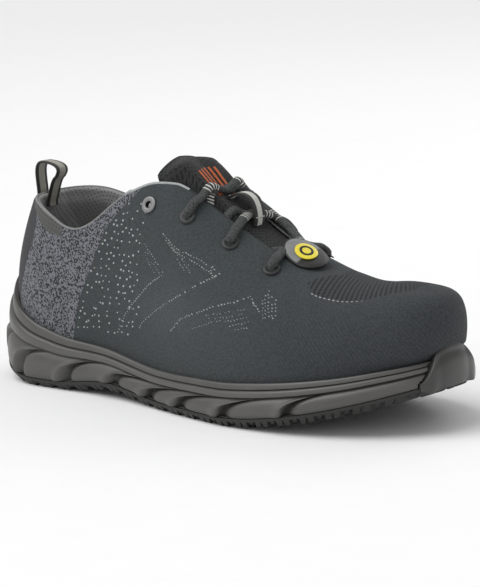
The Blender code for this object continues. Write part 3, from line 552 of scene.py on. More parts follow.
def round_end(share, power):
    """How wide a rounded end is, from 0 at its tip to 1."""
    return (1 - (1 - min(max(share, 0.0), 1.0)) ** power) ** (1 / power)


def side_word(side):
    """What the tables call a side."""
    return "lateral" if side == LATERAL else "medial"


def outline(turn, side, inset):
    """A point of the sole's outline, moved inwards, with turn 0 at the heel and 1 at the toe."""
    along = (1 - math.cos(math.pi * min(max(turn, 0.0), 1.0))) / 2
    ends = round_end(along / HEEL_ROUND, HEEL_POWER) * round_end((1 - along) / TOE_ROUND, TOE_POWER)
    half = (blend(OUTLINE, side_word(side), along) * BALL_WIDTH - inset) * ends
    x = shoe_x(0) + inset + along * (SOLE_LENGTH - 2 * inset)
    return Vector((x, axis_y(along) + side * half, 0))


def toe_lift(x):
    """How far the sprung toe has risen."""
    return TOE_SPRING * max(0.0, (share_of(x) - TOE_START) / (1 - TOE_START)) ** 1.6


def tread_z(x):
    """Height of the tread's lowest face: bevelled heel, raised arch and sprung toe."""
    along = share_of(x)
    heel = HEEL_BEVEL * max(0.0, 1 - along / HEEL_REAR) ** 2
    arch = ARCH_RISE * ease((along - ARCH_START) / ARCH_RAMP) * ease((ARCH_END - along) / ARCH_RAMP)
    return heel + arch + toe_lift(x)


def plate_z(x):
    """Underside of the foam, on top of the tread plate."""
    return tread_z(x) + LUG_DEPTH + TREAD_PLATE


def rim_z(x, turn):
    """Top of the foam's thin rim, which rises into a cup at the heel."""
    cup = HEEL_CUP_RISE * (1 - ease(turn / 0.17))
    return tread_z(x) + blend(SIDE, "height", share_of(x)) * RIM_HEIGHT + cup


def bed_z(x):
    """Top of the foam inside the shoe, which the foot stands over."""
    return blend(SIDE, "bed", share_of(x)) * RIM_HEIGHT + toe_lift(x)


def ridge_height(along):
    """Height of the last's ridge at a share of the length."""
    return blend(RIDGE, "height", along) * INSTEP_HEIGHT


def ridge_point(turn):
    """Where the profile at this turn meets the ridge."""
    along = blend(FAN, "ridge", turn)
    return Vector((shoe_x(along), axis_y(along), ridge_height(along)))


@lru_cache(maxsize=None)
def ridge_slope(turn):
    """Rise of the ridge for each metre along it."""
    along = blend(FAN, "ridge", turn)
    step = 0.002
    return (ridge_height(along + step) - ridge_height(along - step)) / (2 * step * SOLE_LENGTH)


@lru_cache(maxsize=None)
def profile(turn, side):
    """The four points that bend a profile from the rim to the ridge."""
    foot = outline(turn, side, SOLE_FLARE + RIM_WALL + FIT_GAP)
    foot.z = rim_z(foot.x, turn)
    top = ridge_point(turn)
    outward = Vector((foot.x - top.x, foot.y - top.y, 0))
    rise = blend(FAN, "rise", turn) * (top.z - foot.z)
    swell = blend(FAN, side_word(side), turn) * BALL_WIDTH
    first = foot + Vector((0, 0, rise)) + outward.normalized() * swell
    flat = blend(FAN, "flat", turn)
    across = Vector((outward.x, outward.y, ridge_slope(turn) * outward.x))
    return foot, first, top + across * flat, top


def last_point(turn, side, up):
    """A point on the outside of the closed last: up is 0 at the rim and 1 at the ridge."""
    foot, first, last, top = profile(turn, side)
    down = 1 - up
    return foot * down**3 + first * (3 * up * down**2) + last * (3 * up * up * down) + top * up**3


def last_normal(turn, side, up):
    """The outward direction on the last."""
    step = 0.004
    low, high = max(up - step, 0.0), min(up + step, 1.0)
    along_up = last_point(turn, side, high) - last_point(turn, side, low)
    if turn < step or turn > 1 - step:
        along_turn = Vector((0, side if turn < step else -side, 0))
    else:
        along_turn = last_point(turn + step, side, up) - last_point(turn - step, side, up)
    if up > 1 - step:
        along_up = Vector((0, -side, 0))
        slope = ridge_slope(turn)
        along_turn = Vector((1, 0, slope))
    return side * along_up.cross(along_turn).normalized()


def throat_half(along):
    """Half width of the throat, closed by a round end."""
    end = share_of(shoe_x(0) + THROAT_END)
    if along >= end:
        return 0.0
    closing = round_end((end - along) * SOLE_LENGTH / THROAT_ROUND, 2.0)
    return blend(THROAT, "half", along) * BALL_WIDTH * closing


def is_open(point, side):
    """Whether the collar or the throat, joined by a rounded corner, takes this point away."""
    along = share_of(point.x)
    over = point.z - blend(COLLAR, side_word(side), along) * COLLAR_HEIGHT
    within = throat_half(along) - abs(point.y - axis_y(along))
    if along < THROAT[0].along:
        return over > 0
    return max(over, within, over + within + CORNER_ROUND) > 1e-9


def halved(low, high, is_low, times):
    """The place between low and high up to which is_low holds."""
    for _ in range(times):
        middle = (low + high) / 2
        low, high = (middle, high) if is_low(middle) else (low, middle)
    return low


@lru_cache(maxsize=None)
def top_up(turn, side):
    """How far up a profile the knit runs before the collar or the throat."""
    steps = 200

    def is_shut(up):
        return not is_open(last_point(turn, side, up), side)

    for k in range(1, steps + 1):
        if not is_shut(k / steps):
            return halved((k - 1) / steps, k / steps, is_shut, 20)
    return 1.0


def wall_thickness(turn, side, up, top):
    """The knit's wall, padded below the collar."""
    heel = 1 - ease((turn - 0.28) / 0.14)
    near_top = ease(1 - (top - up) / 0.30)
    lip = 1 - 0.55 * ease(1 - (top - up) / 0.05)
    return WALL + COLLAR_PAD * heel * near_top * lip


def swept_turn(turn):
    """How far a column of the foam leans towards the toe by its top."""
    return SCALLOP_SWEEP * ease(turn / 0.14) * ease((GUARD_TURN - 0.02 - turn) / 0.16)


def round_the_shoe(turns, place):
    """Points once round the shoe: heel to toe on the outer side and back on the inner."""
    return [place(turn, LATERAL) for turn in turns] + [place(turn, MEDIAL) for turn in turns[-2:0:-1]]


@lru_cache(maxsize=None)
def hole_spot(hole, side):
    """Where a lace hole sits on the upper, and which way it faces."""
    up = top_up(hole.turn, side)
    edge, run = last_point(hole.turn, side, up), 0.0
    while run < getattr(hole, side_word(side)) * BALL_WIDTH:
        up -= 0.002
        point = last_point(hole.turn, side, up)
        run += (point - edge).length
        edge = point
    return edge, last_normal(hole.turn, side, up)


def tongue_up(turn, side, width):
    """How far up the profile lies at a distance from the ridge."""
    before, run, steps = last_point(turn, side, 1.0), 0.0, 200
    for k in range(1, steps + 1):
        after = last_point(turn, side, 1 - 0.6 * k / steps)
        run += (after - before).length
        if run >= width:
            return 1 - 0.6 * k / steps
        before = after
    return 0.4


def heel_up(height):
    """How far up the heel's middle line a height lies."""
    return halved(0.0, 1.0, lambda up: last_point(0.0, LATERAL, up).z < height, 30)


def grid_faces(rows, across, closed=True, start=0):
    """Faces between rows of points, from the first point's number."""
    faces = []
    for row in range(rows - 1):
        for k in range(across if closed else across - 1):
            here, after = start + row * across + k, start + row * across + (k + 1) % across
            faces.append((here, after, after + across, here + across))
    return faces


@lru_cache(maxsize=None)
def the_last():
    """The whole last as faces that rays can be cast at."""
    steps, rows = 160, 60
    points, faces = [], []
    for side, _ in SIDES:
        faces += grid_faces(steps + 1, rows + 1, closed=False, start=len(points))
        for k in range(steps + 1):
            points += [last_point(k / steps, side, row / rows) for row in range(rows + 1)]
    return BVHTree.FromPolygons(points, faces)


def from_above(x, y, lift=0.0):
    """The last's surface straight under a point seen from above, and its direction there."""
    point, normal, _, _ = the_last().ray_cast(Vector((x, y, RAY_TOP)), Vector((0, 0, -1)))
    if normal.z < 0:
        normal = -normal
    return point + normal * lift, normal


def from_beside(x, z, side):
    """The last's surface beside a point seen from one side, and its direction there."""
    point, normal, _, _ = the_last().ray_cast(Vector((x, side * RAY_SIDE, z)), Vector((0, -side, 0)))
    if point is None:
        return None, None
    if normal.y * side < 0:
        normal = -normal
    return point, normal


def along_edge(rows, height):
    """X of an edge of the knit's pattern at a height."""
    height = min(max(height, rows[0].height), rows[-1].height)
    for low, high in zip(rows, rows[1:]):
        if height <= high.height:
            return low.x + (high.x - low.x) * (height - low.height) / (high.height - low.height)
    return rows[-1].x


class Value:
    """A socket that can be reckoned with: each step adds a Math node to its tree."""

    def __init__(self, nodes, socket):
        self.nodes, self.socket = nodes, socket

    def step(self, operation, second=0.0):
        """One step of arithmetic on this value."""
        return self.nodes.add("Math", {0: self, 1: second}, operation=operation)[0]

    def __add__(self, other):
        return self.step("ADD", other)

    def __sub__(self, other):
        return self.step("SUBTRACT", other)

    def __mul__(self, other):
        return self.step("MULTIPLY", other)

    def __truediv__(self, other):
        return self.step("DIVIDE", other)

    def mask(self, low, high):
        """0 below low, 1 above high, smooth between."""
        sockets = {0: self, 1: low, 2: high, 3: 0.0, 4: 1.0}
        return self.nodes.add("MapRange", sockets, interpolation_type="SMOOTHSTEP")[0]

    def wave(self, size=1.0):
        """A sine that repeats every size."""
        return (self * (2 * math.pi / size)).step("SINE")

    def within(self):
        """Where this value lies in its whole step, from -0.5 to 0.5."""
        return self.step("FRACT") - 0.5


class Outputs:
    """A node's outputs by name or number."""

    def __init__(self, nodes, node):
        self.nodes, self.node = nodes, node

    def __getitem__(self, key):
        return Value(self.nodes, self.node.outputs[key])


class Nodes:
    """A node tree that is built step by step."""

    def __init__(self, tree):
        self.tree = tree

    def plug(self, socket, value):
        """Links a value to a socket, or sets the socket to a plain number, colour or vector."""
        if isinstance(value, Value):
            self.tree.links.new(value.socket, socket)
        else:
            socket.default_value = value

    def add(self, kind, sockets=None, **settings):
        """Adds a node; sockets maps an input's name or number to what goes into it."""
        node = self.tree.nodes.new("ShaderNode" + kind)
        for key, value in settings.items():
            setattr(node, key, value)
        for key, value in (sockets or {}).items():
            self.plug(node.inputs[key], value)
        return Outputs(self, node)

    def noise(self, vector, scale, detail, **more):
        """Soft noise."""
        return self.add("TexNoise", {"Vector": vector, "Scale": scale, "Detail": detail, **more})[0]

    def xyz(self, vector):
        """The three parts of a vector."""
        parts = self.add("SeparateXYZ", {0: vector})
        return parts[0], parts[1], parts[2]

    def painted(self, name):
        """The colour and the alpha that are painted on a piece's points."""
        paint = self.add("Attribute", attribute_name=name)
        parts = self.add("SeparateColor", {0: paint["Color"]})
        return parts[0], parts[1], parts[2], paint["Alpha"]

    def mixed(self, mask, first, second):
        """The first colour where the mask is 0 and the second where it is 1."""
        pair = [shade if isinstance(shade, Value) else (*shade, 1) for shade in (first, second)]
        return self.add("Mix", {0: mask, 6: pair[0], 7: pair[1]}, data_type="RGBA")[2]

    def use(self, name, vector, **sockets):
        """Places a shared effect."""
        return self.add("Group", {"Vector": vector, **sockets}, node_tree=effects()[name])


class Effect(Nodes):
    """A node group with a vector and numbers as inputs and masks or heights as outputs."""

    def __init__(self, name, outputs, **inputs):
        super().__init__(bpy.data.node_groups.new(name, "ShaderNodeTree"))
        face = self.tree.interface
        face.new_socket(name="Vector", in_out="INPUT", socket_type="NodeSocketVector")
        for key, default in inputs.items():
            face.new_socket(name=key, in_out="INPUT", socket_type="NodeSocketFloat").default_value = default
        for key in outputs:
            face.new_socket(name=key, in_out="OUTPUT", socket_type="NodeSocketFloat")
        self.given = Outputs(self, self.tree.nodes.new("NodeGroupInput"))
        self.made = self.tree.nodes.new("NodeGroupOutput")

    def gives(self, **outputs):
        """Links what the group puts out."""
        for key, value in outputs.items():
            self.plug(self.made.inputs[key], value)
        return self.tree


def stitch_effect():
    """Rows of knitted stitches, each a small V."""
    group = Effect("Knit stitches", ("Height",), Stitch=0.0012)
    across, up, _ = group.xyz(group.given["Vector"])
    leg = (across / group.given["Stitch"]).within().step("ABSOLUTE")
    rows = (up / group.given["Stitch"] + leg).wave(1 / 1.3)
    return group.gives(Height=(rows * 0.5 + 0.5) * leg.wave())


def fibre_effect():
    """Uneven yarn: soft blotches and fine fuzz."""
    group = Effect("Yarn fibre", ("Blotch", "Fuzz"), Fineness=900.0)
    coarse = group.noise(group.given["Vector"], 70.0, 3.0)
    fine = group.noise(group.given["Vector"], group.given["Fineness"], 2.0)
    return group.gives(Blotch=coarse.mask(0.35, 0.65), Fuzz=fine.mask(0.30, 0.70))


def hole_effect():
    """Staggered round holes."""
    group = Effect("Staggered holes", ("Hole",), Gap=0.0027, Width=0.2)
    across, up, _ = group.xyz(group.given["Vector"])
    up = up / (group.given["Gap"] * ROW_SHARE)
    shift = up.step("FLOOR").step("MODULO", 2.0) * 0.5
    x = (across / group.given["Gap"] + shift).within()
    y = up.within() * ROW_SHARE
    away = (x * x + y * y).step("SQRT") / group.given["Width"]
    return group.gives(Hole=away.mask(0.75, 1.1) * -1.0 + 1.0)


def fleck_effect():
    """Small cells that are light or dark by chance, in diagonal rows."""
    group = Effect("Heel flecks", ("Dark",), Size=0.00105, Share=0.45)
    vector, size = group.given["Vector"], group.given["Size"]
    turned = group.add("VectorRotate", {"Vector": vector, "Angle": 0.72}, rotation_type="Z_AXIS")[0]
    edge = group.add("CombineXYZ", {0: size, 1: size, 2: 1.0})[0]
    cell = group.add("VectorMath", {0: turned, 1: edge}, operation="SNAP")[0]
    chance = group.add("TexWhiteNoise", {"Vector": cell}, noise_dimensions="3D")[0]
    level = chance * 0.78 + group.noise(vector, 420.0, 1.0) * 0.22
    return group.gives(Dark=level.step("LESS_THAN", group.given["Share"]))


def wear_effect():
    """Dust and faint scuffs of moulded foam and rubber."""
    group = Effect("Moulded wear", ("Dust", "Grain"))
    long = group.add("Mapping", {"Vector": group.given["Vector"], "Scale": (1.0, 1.0, 3.0)})[0]
    dust = group.noise(long, 38.0, 6.0, Roughness=0.65)
    return group.gives(Dust=dust.mask(0.38, 0.72), Grain=group.noise(group.given["Vector"], 1500.0, 2.0))


@lru_cache(maxsize=None)
def effects():
    """The node groups that materials share, each built once."""
    return {
        "stitch": stitch_effect(),
        "fibre": fibre_effect(),
        "hole": hole_effect(),
        "fleck": fleck_effect(),
        "wear": wear_effect(),
    }


class Surface(Nodes):
    """A material in the making; numbers that are the same all over stand on its shader."""

    def __init__(self, name, roughness, sheen=0.0, coat=0.0):
        self.material = bpy.data.materials.new(name)
        self.material.use_nodes = True
        super().__init__(self.material.node_tree)
        self.shader = self.tree.nodes["Principled BSDF"]
        self.shader.inputs["Roughness"].default_value = roughness
        self.shader.inputs["Sheen Weight"].default_value = sheen
        self.shader.inputs["Coat Weight"].default_value = coat
        self.shader.inputs["Coat Roughness"].default_value = COAT_ROUGHNESS
        self.place = self.add("TexCoord")["Object"]

    def cloth(self):
        """The piece's own UV map, in metres."""
        return self.add("UVMap", uv_map="cloth")[0]

    def roughened(self, dust, low):
        """Makes dusty spots rougher."""
        self.plug(self.shader.inputs["Roughness"], dust * 0.14 + low)

    def finished(self, shade, relief, strength, depth):
        """Links the colour and the relief, whose depth is in metres."""
        bump = self.add("Bump", {"Height": relief, "Strength": strength, "Distance": depth})[0]
        self.plug(self.shader.inputs["Base Color"], shade)
        self.plug(self.shader.inputs["Normal"], bump)
        return self.material


def darker(shade, share):
    """A colour brought down by a share."""
    return tuple(part * share for part in shade)


def knit_material(tones, sizes):
    """The knit: speckled heel, plain side, ribbed toe and slit vamp, by the masks painted on its points,
    with painted shade towards the toe.
    """
    knit = Surface("knit", 0.90, sheen=0.04)
    mixed, uv = knit.mixed, knit.cloth()
    across, up, _ = knit.xyz(uv)
    speckled, slits, ribs, wrapped = knit.painted("zones")
    toe, cloth, hatched, _ = knit.painted("trims")
    fibre = knit.use("fibre", knit.place)
    stitch = knit.use("stitch", uv, Stitch=sizes.stitch)[0]
    dark = knit.use("fleck", uv, Size=sizes.fleck)[0]
    holes = knit.use("hole", uv, Gap=sizes.perforation, Width=PINHOLE_SHARE)[0]
    # The plain yarn with painted shade towards the toe, then the speckled heel, its plain cloth and the
    # wrapped lining.
    plain = mixed(toe, tones.knit, tones.toe)
    plain = mixed(fibre["Blotch"] * 0.22, plain, darker(tones.knit, 0.70))
    plain = mixed(fibre["Fuzz"] * 0.10, plain, darker(tones.fleck, 0.5))
    speckle = mixed(dark, tones.speckle_light, tones.speckle_dark)
    shade = mixed((speckled + fibre["Fuzz"] * 0.24).mask(0.57, 0.63), plain, speckle)
    heel = mixed(fibre["Fuzz"], darker(tones.heel_cloth, 0.85), tones.heel_cloth)
    shade = mixed(cloth.mask(0.42, 0.58), shade, heel)
    lining = mixed(holes, tones.wrap, darker(tones.wrap, 0.3))
    shade = mixed(wrapped.mask(0.42, 0.58), shade, lining)
    # The slits with their rungs, the diagonal ribs of the toe and the hatched side.
    rungs = up.wave(RUNG_GAP).mask(-0.95, -0.55) * 0.45 + 0.55
    slit = (across / sizes.slit).wave().mask(-0.25, 0.30) * rungs * slits.mask(0.40, 0.60)
    shade = mixed(slit * 0.92, shade, darker(tones.mesh, 0.3))
    rib = (across * 0.86 + up * 0.62).wave(RIB_GAP).mask(-0.2, 0.9) * ribs
    shade = mixed(rib * 0.42, shade, tones.speckle_dark)
    hatch = (across - up * 1.1).wave(HATCH_GAP).mask(0.0, 0.9) * hatched
    shade = mixed(hatch * 0.34, shade, tones.speckle_light)
    relief = stitch + fibre["Fuzz"] * 0.35 - slit * 2.2 - rib
    return knit.finished(shade, relief, 0.55, 0.00032)


def perforated_material(name, shade, pit, gap, width, depth, shade_seam_x=None):
    """A cloth with staggered holes: the collar's lining and the tongue's mesh."""
    cloth = Surface(name, 0.9, sheen=0.1)
    fibre = cloth.use("fibre", cloth.place, Fineness=1400.0)
    hole = cloth.use("hole", cloth.cloth(), Gap=gap, Width=width)[0]
    looks = cloth.mixed(fibre["Blotch"], darker(shade, 0.82), shade)
    # In front of the seam the lining is darkened: painted shade inside the shoe.
    if shade_seam_x is not None:
        beyond = cloth.xyz(cloth.place)[0].mask(shade_seam_x, shade_seam_x + 0.0012)
        looks = cloth.mixed(beyond * 0.45, looks, darker(shade, 0.5))
    looks = cloth.mixed(hole, looks, darker(shade, pit))
    return cloth.finished(looks, fibre["Fuzz"] * 0.25 - hole, 0.8, depth)


def moulded_material(name, shade, roughness, dust, coat=0.0, grain=0.00006):
    """Moulded rubber with dust in its colour and grain in its skin."""
    rubber = Surface(name, roughness, coat=coat)
    wear = rubber.use("wear", rubber.place)
    dusty = tuple(part * 1.35 + 0.01 for part in shade)
    rubber.roughened(wear["Dust"], roughness - 0.07)
    looks = rubber.mixed(wear["Dust"] * dust, darker(shade, 0.90), dusty)
    return rubber.finished(looks, wear["Grain"], 0.5, grain)


def foam_material(shade):
    """The moulded foam, with painted shade in its grooves and scallops and a painted highlight on its
    crests.
    """
    foam = Surface("foam", 0.50, coat=0.10)
    wear = foam.use("wear", foam.place)
    deep, painted_highlight, _, _ = foam.painted("hollows")
    looks = foam.mixed(wear["Dust"] * 0.45, darker(shade, 0.92), darker(shade, 1.35))
    # Painted shade darkens the grooves and scallops; the painted highlight lightens the crests.
    looks = foam.mixed(deep * 0.72, looks, darker(shade, 0.25))
    looks = foam.mixed(painted_highlight, looks, darker(shade, 1.5))
    foam.roughened(wear["Dust"], 0.42)
    return foam.finished(looks, wear["Grain"], 0.5, 0.00006)


def cord_material(tones):
    """The round lace: a dark braid with bursts of a white tracer yarn."""
    cord = Surface("cord", 0.80, sheen=0.03)
    run, turn, _ = cord.xyz(cord.cloth())
    left = (run / BRAID_GAP + turn * 8.0).wave()
    right = (run / BRAID_GAP - turn * 8.0).wave()
    braid = left.step("MAXIMUM", right)
    fibre = cord.use("fibre", cord.place, Fineness=1600.0)
    shade = cord.mixed(braid.mask(-0.2, 1.0), darker(tones.cord, 0.45), tones.cord)
    shade = cord.mixed(fibre["Fuzz"] * 0.15, shade, tones.fleck)
    burst = (run * 34.0 + turn).within().step("ABSOLUTE").mask(0.36, 0.38)
    tracer = burst * left.mask(0.40, 0.60) * right.mask(-0.4, 0.1)
    shade = cord.mixed(tracer, shade, tones.tracer)
    return cord.finished(shade, braid + tracer * 0.8, 0.6, 0.00013)


def tape_material(name, middle, edges, half):
    """Woven tape with a band down its middle; the UV map runs along and across it."""
    tape = Surface(name, 0.62, sheen=0.1)
    run, off, _ = tape.xyz(tape.cloth())
    rib = run.wave(0.0009) * off.wave(0.0007)
    pale = tape.mixed(tape.use("wear", tape.place)["Dust"], middle, darker(middle, 0.78))
    pale = tape.mixed(rib.mask(0.2, 1.0), pale, darker(middle, 0.72))
    outer = tape.mixed(rib.mask(-0.6, 1.0), darker(edges, 0.5), edges)
    shade = tape.mixed(off.step("ABSOLUTE").mask(half * 0.94, half * 1.06), pale, outer)
    return tape.finished(shade, rib, 0.6, 0.00012)


def smooth_material(name, shade, roughness, coat=0.0, mottle=0.15):
    """Lacquered or printed trim with a faint mottle."""
    trim = Surface(name, roughness, coat=coat)
    wear = trim.use("wear", trim.place)
    looks = trim.mixed(wear["Dust"] * mottle, shade, darker(shade, 0.55))
    return trim.finished(looks, wear["Grain"], 0.3, 0.00004)


def thread_material(name, shade):
    """Twisted thread or piping."""
    thread = Surface(name, 0.8, sheen=0.15)
    fuzz = thread.use("fibre", thread.place, Fineness=1800.0)["Fuzz"]
    return thread.finished(thread.mixed(fuzz, darker(shade, 0.62), shade), fuzz, 0.6, 0.0001)


def tag_material(tones):
    """The throat tag: silver-grey towards the heel and black towards the toe."""
    tag = Surface("tag", 0.42, coat=0.15)
    wear = tag.use("wear", tag.place)
    split = tag.xyz(tag.place)[0].mask(shoe_x(TAG_ALONG) + 0.0020, shoe_x(TAG_ALONG) + 0.0035)
    silver = tag.mixed(wear["Dust"], tones.tag, darker(tones.tag, 0.6))
    return tag.finished(tag.mixed(split, silver, darker(tones.tape, 0.5)), wear["Grain"], 0.2, 0.00003)


@lru_cache(maxsize=None)
def finishes():
    """Every material of the shoe, each built once from the panel's colours."""
    tones, sizes = bpy.context.scene.sneaker_colours, bpy.context.scene.sneaker_sizes
    tones = {key: tuple(getattr(tones, key)) for key in SneakerColours.__annotations__}
    tones = namedtuple("Tones", tones)(**tones)
    made = (
        knit_material(tones, sizes),
        perforated_material(
            "lining", tones.lining, 0.22, sizes.perforation, PINHOLE_SHARE, 0.0006, LINING_SHADE_SEAM
        ),
        perforated_material("mesh", tones.mesh, 0.18, sizes.honeycomb, 0.33, 0.0008),
        foam_material(tones.foam),
        moulded_material("rubber", tones.rubber, 0.60, 0.50, grain=0.00012),
        moulded_material("guard", tones.guard, 0.40, 0.35, coat=0.25, grain=0.00003),
        cord_material(tones),
        tape_material("keeper_tape", tones.tracer, tones.tape, 0.0019),
        tape_material("loop_tape", tones.pale, tones.tape, 0.0024),
        smooth_material("ring", tones.ring, 0.38, coat=0.2),
        # The dark ring colour serves the lower rings' flanges and, as painted shade, every ring's barrel.
        smooth_material("dark_ring", darker(tones.cord, 0.8), 0.5),
        tag_material(tones),
        smooth_material("disc", tones.disc, 0.35, coat=0.4, mottle=0.05),
        # The dark mark colour serves the disc's printed ring and the painted shadow on the tag's rim.
        smooth_material("disc_mark", darker(tones.tape, 0.5), 0.4),
        smooth_material("print", tones.print, 0.45),
        thread_material("stitches", tones.fleck),
        thread_material("dim_stitches", darker(tones.fleck, 0.75)),
        thread_material("piping", tones.fleck),
        thread_material("binding", darker(tones.lining, 0.6)),
        thread_material("seam", darker(tones.toe, 0.35)),
        smooth_material("floor", tones.floor, 0.9, mottle=0.02),
    )
    # A material gets a number after its name where the solids have one of that name.
    return {material.name.split(".")[0]: material for material in made}


def only(obj):
    """Selects one object and nothing else."""
    for other in bpy.context.selected_objects:
        other.select_set(False)
    obj.select_set(True)
    bpy.context.view_layer.objects.active = obj


def wear_piece(obj, slot, *nodes, angle=40):
    """Shades a finished piece and puts it on the shoe in place of its solids."""
    only(obj)
    bpy.ops.object.shade_smooth_by_angle(angle=math.radians(angle))
    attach(obj, BODY)
    if nodes:
        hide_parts(*nodes)
    return obj


def mesh_object(name, points, faces, materials, kinds=None, maps=None):
    """An object from points and faces, with a material for each face and a UV map in metres."""
    mesh = bpy.data.meshes.new(name)
    mesh.from_pydata(points, [], faces)
    for material in materials:
        mesh.materials.append(finishes()[material])
    if kinds:
        mesh.polygons.foreach_set("material_index", kinds)
    layer = mesh.uv_layers.new(name="cloth")
    if maps:
        layer.data.foreach_set("uv", [part for spots in maps for spot in spots for part in spot])
    obj = bpy.data.objects.new(name, mesh)
    bpy.context.scene.collection.objects.link(obj)
    return obj


def cleaned(obj, merge=1e-6):
    """Merges doubled points, drops loose ones and turns the faces outwards."""
    shape = bmesh.new()
    shape.from_mesh(obj.data)
    bmesh.ops.remove_doubles(shape, verts=shape.verts, dist=merge)
    bmesh.ops.delete(shape, geom=[vert for vert in shape.verts if not vert.link_faces], context="VERTS")
    bmesh.ops.recalc_face_normals(shape, faces=shape.faces)
    if shape.calc_volume(signed=True) < 0:
        bmesh.ops.reverse_faces(shape, faces=shape.faces)
    shape.to_mesh(obj.data)
    shape.free()
    return obj


def smooth_path(points, step):
    """A smooth curve through a few points, sampled every step."""
    points = [2 * points[0] - points[1]] + list(points) + [2 * points[-1] - points[-2]]
    path = []
    for a, b, c, d in zip(points, points[1:], points[2:], points[3:]):
        count = max(2, round((c - b).length / step))
        for k in range(count):
            t = k / count
            bend = (2 * a - 5 * b + 4 * c - d) * t**2 + (3 * b - a - 3 * c + d) * t**3
            path.append(0.5 * (2 * b + (c - a) * t + bend))
    return path + [points[-2]]


def heading(path, k):
    """Which way a path runs at one of its points."""
    return (path[min(k + 1, len(path) - 1)] - path[max(k - 1, 0)]).normalized()


def section(angle, width, height, flat):
    """A point of a bar's section: an oval, or squarer where flat is above 1."""
    cos, sin = math.cos(angle), math.sin(angle)
    across = math.copysign(abs(cos) ** (1 / flat), cos) * width / 2
    return across, math.copysign(abs(sin) ** (1 / flat), sin) * height / 2


def round_bar(path, ups, width, height, sides=14, flat=1.0):
    """Points, faces and UV of a bar along a path; flat above 1 squares its section off."""
    points, maps, run = [], [], [0.0]
    for before, after in zip(path, path[1:]):
        run.append(run[-1] + (after - before).length)
    ring = [section(2 * math.pi * (n + 0.5) / sides, width, height, flat) for n in range(sides + 1)]
    edges = [right for right, _ in ring] if flat > 1 else [n / sides for n in range(sides + 1)]
    for k, centre in enumerate(path):
        along = heading(path, k)
        across = along.cross(ups[k]).normalized()
        up = across.cross(along).normalized()
        points += [centre + across * right + up * rise for right, rise in ring[:-1]]
    for low, high in zip(run, run[1:]):
        for left, right in zip(edges, edges[1:]):
            maps.append(((low, left), (low, right), (high, right), (high, left)))
    faces = grid_faces(len(path), sides)
    faces += [tuple(range(sides)), tuple(range(len(points) - sides, len(points)))]
    maps += [[(CAP_SPOT, 0.0)] * sides] * 2
    return points, faces, maps


def joined(parts):
    """Points, faces and UV of several shapes as one."""
    points, faces, maps = [], [], []
    for more_points, more_faces, more_maps in parts:
        start = len(points)
        points += more_points
        faces += [tuple(k + start for k in face) for face in more_faces]
        maps += more_maps
    return points, faces, maps


def crease(point):
    """How far the knit stands out or in at a point, from its soft troughs and ridges."""
    off = 0.0
    for fold in CREASES:
        dx, dz = point.x - fold.x, point.z - fold.height
        turn = math.atan(fold.lean)
        along = dx * math.cos(turn) - dz * math.sin(turn)
        across = dx * math.sin(turn) + dz * math.cos(turn)
        off -= fold.depth * math.exp(-((along / fold.long) ** 2) - (across / fold.wide) ** 2)
    return off


def puffed(up):
    """How strongly the knit stands out over the toe's cap: most at its front, hardly on top."""
    return ease((up + 0.01) / 0.09) * (1 - 0.88 * ease((up - 0.40) / 0.40))


def knit_columns(side):
    """Points up each profile of one side: outer face, rolled edge and inner face."""
    columns, run = [], 0.0
    before = None
    for k in range(KNIT_COLUMNS + 1):
        turn = k / KNIT_COLUMNS
        top = top_up(turn, side)
        if k in (0, KNIT_COLUMNS):
            top = min(top, top_up(turn, -side))
        here = last_point(turn, side, 0.4 * top)
        if before:
            run += (here - before).length
        before = here
        outer, inner, rise, climb = [], [], [], 0.0
        for row in range(KNIT_ROWS + 1):
            up = top * max(0, row - 1) / (KNIT_ROWS - 1)
            point, normal = last_point(turn, side, up), last_normal(turn, side, up)
            wall = wall_thickness(turn, side, up, top)
            point = point + normal * TOE_PUFF * ease((turn - 0.78) / 0.14) * puffed(up)
            outer_point = point + normal * crease(point) * ease(up / 0.15) * ease((top - up) / 0.15)
            inner_point = point - normal * wall
            if row == 0:
                outer_point.z = inner_point.z = bed_z(point.x) + FIT_GAP
            if outer:
                climb += (point - last_row).length
            last_row = point
            outer.append(outer_point)
            inner.append(inner_point)
            rise.append(climb)
        rising = Vector()
        if top < 1.0:
            rising = (last_point(turn, side, top) - last_point(turn, side, top - 0.01)).normalized()
        middle, half = (outer[-1] + inner[-1]) / 2, (outer[-1] - inner[-1]) / 2
        roll, across = [], []
        for n in range(1, EDGE_STEPS):
            angle = math.pi * n / EDGE_STEPS
            roll.append(middle + half * math.cos(angle) + rising * half.length * 0.8 * math.sin(angle))
            across.append(rise[-1] + half.length * 0.4 * n)
        below = [rise[-1] + half.length * 2.4 + rise[-1] - value for value in reversed(rise)]
        columns.append((outer + roll + inner[::-1], rise + across + below, run, top))
    return columns


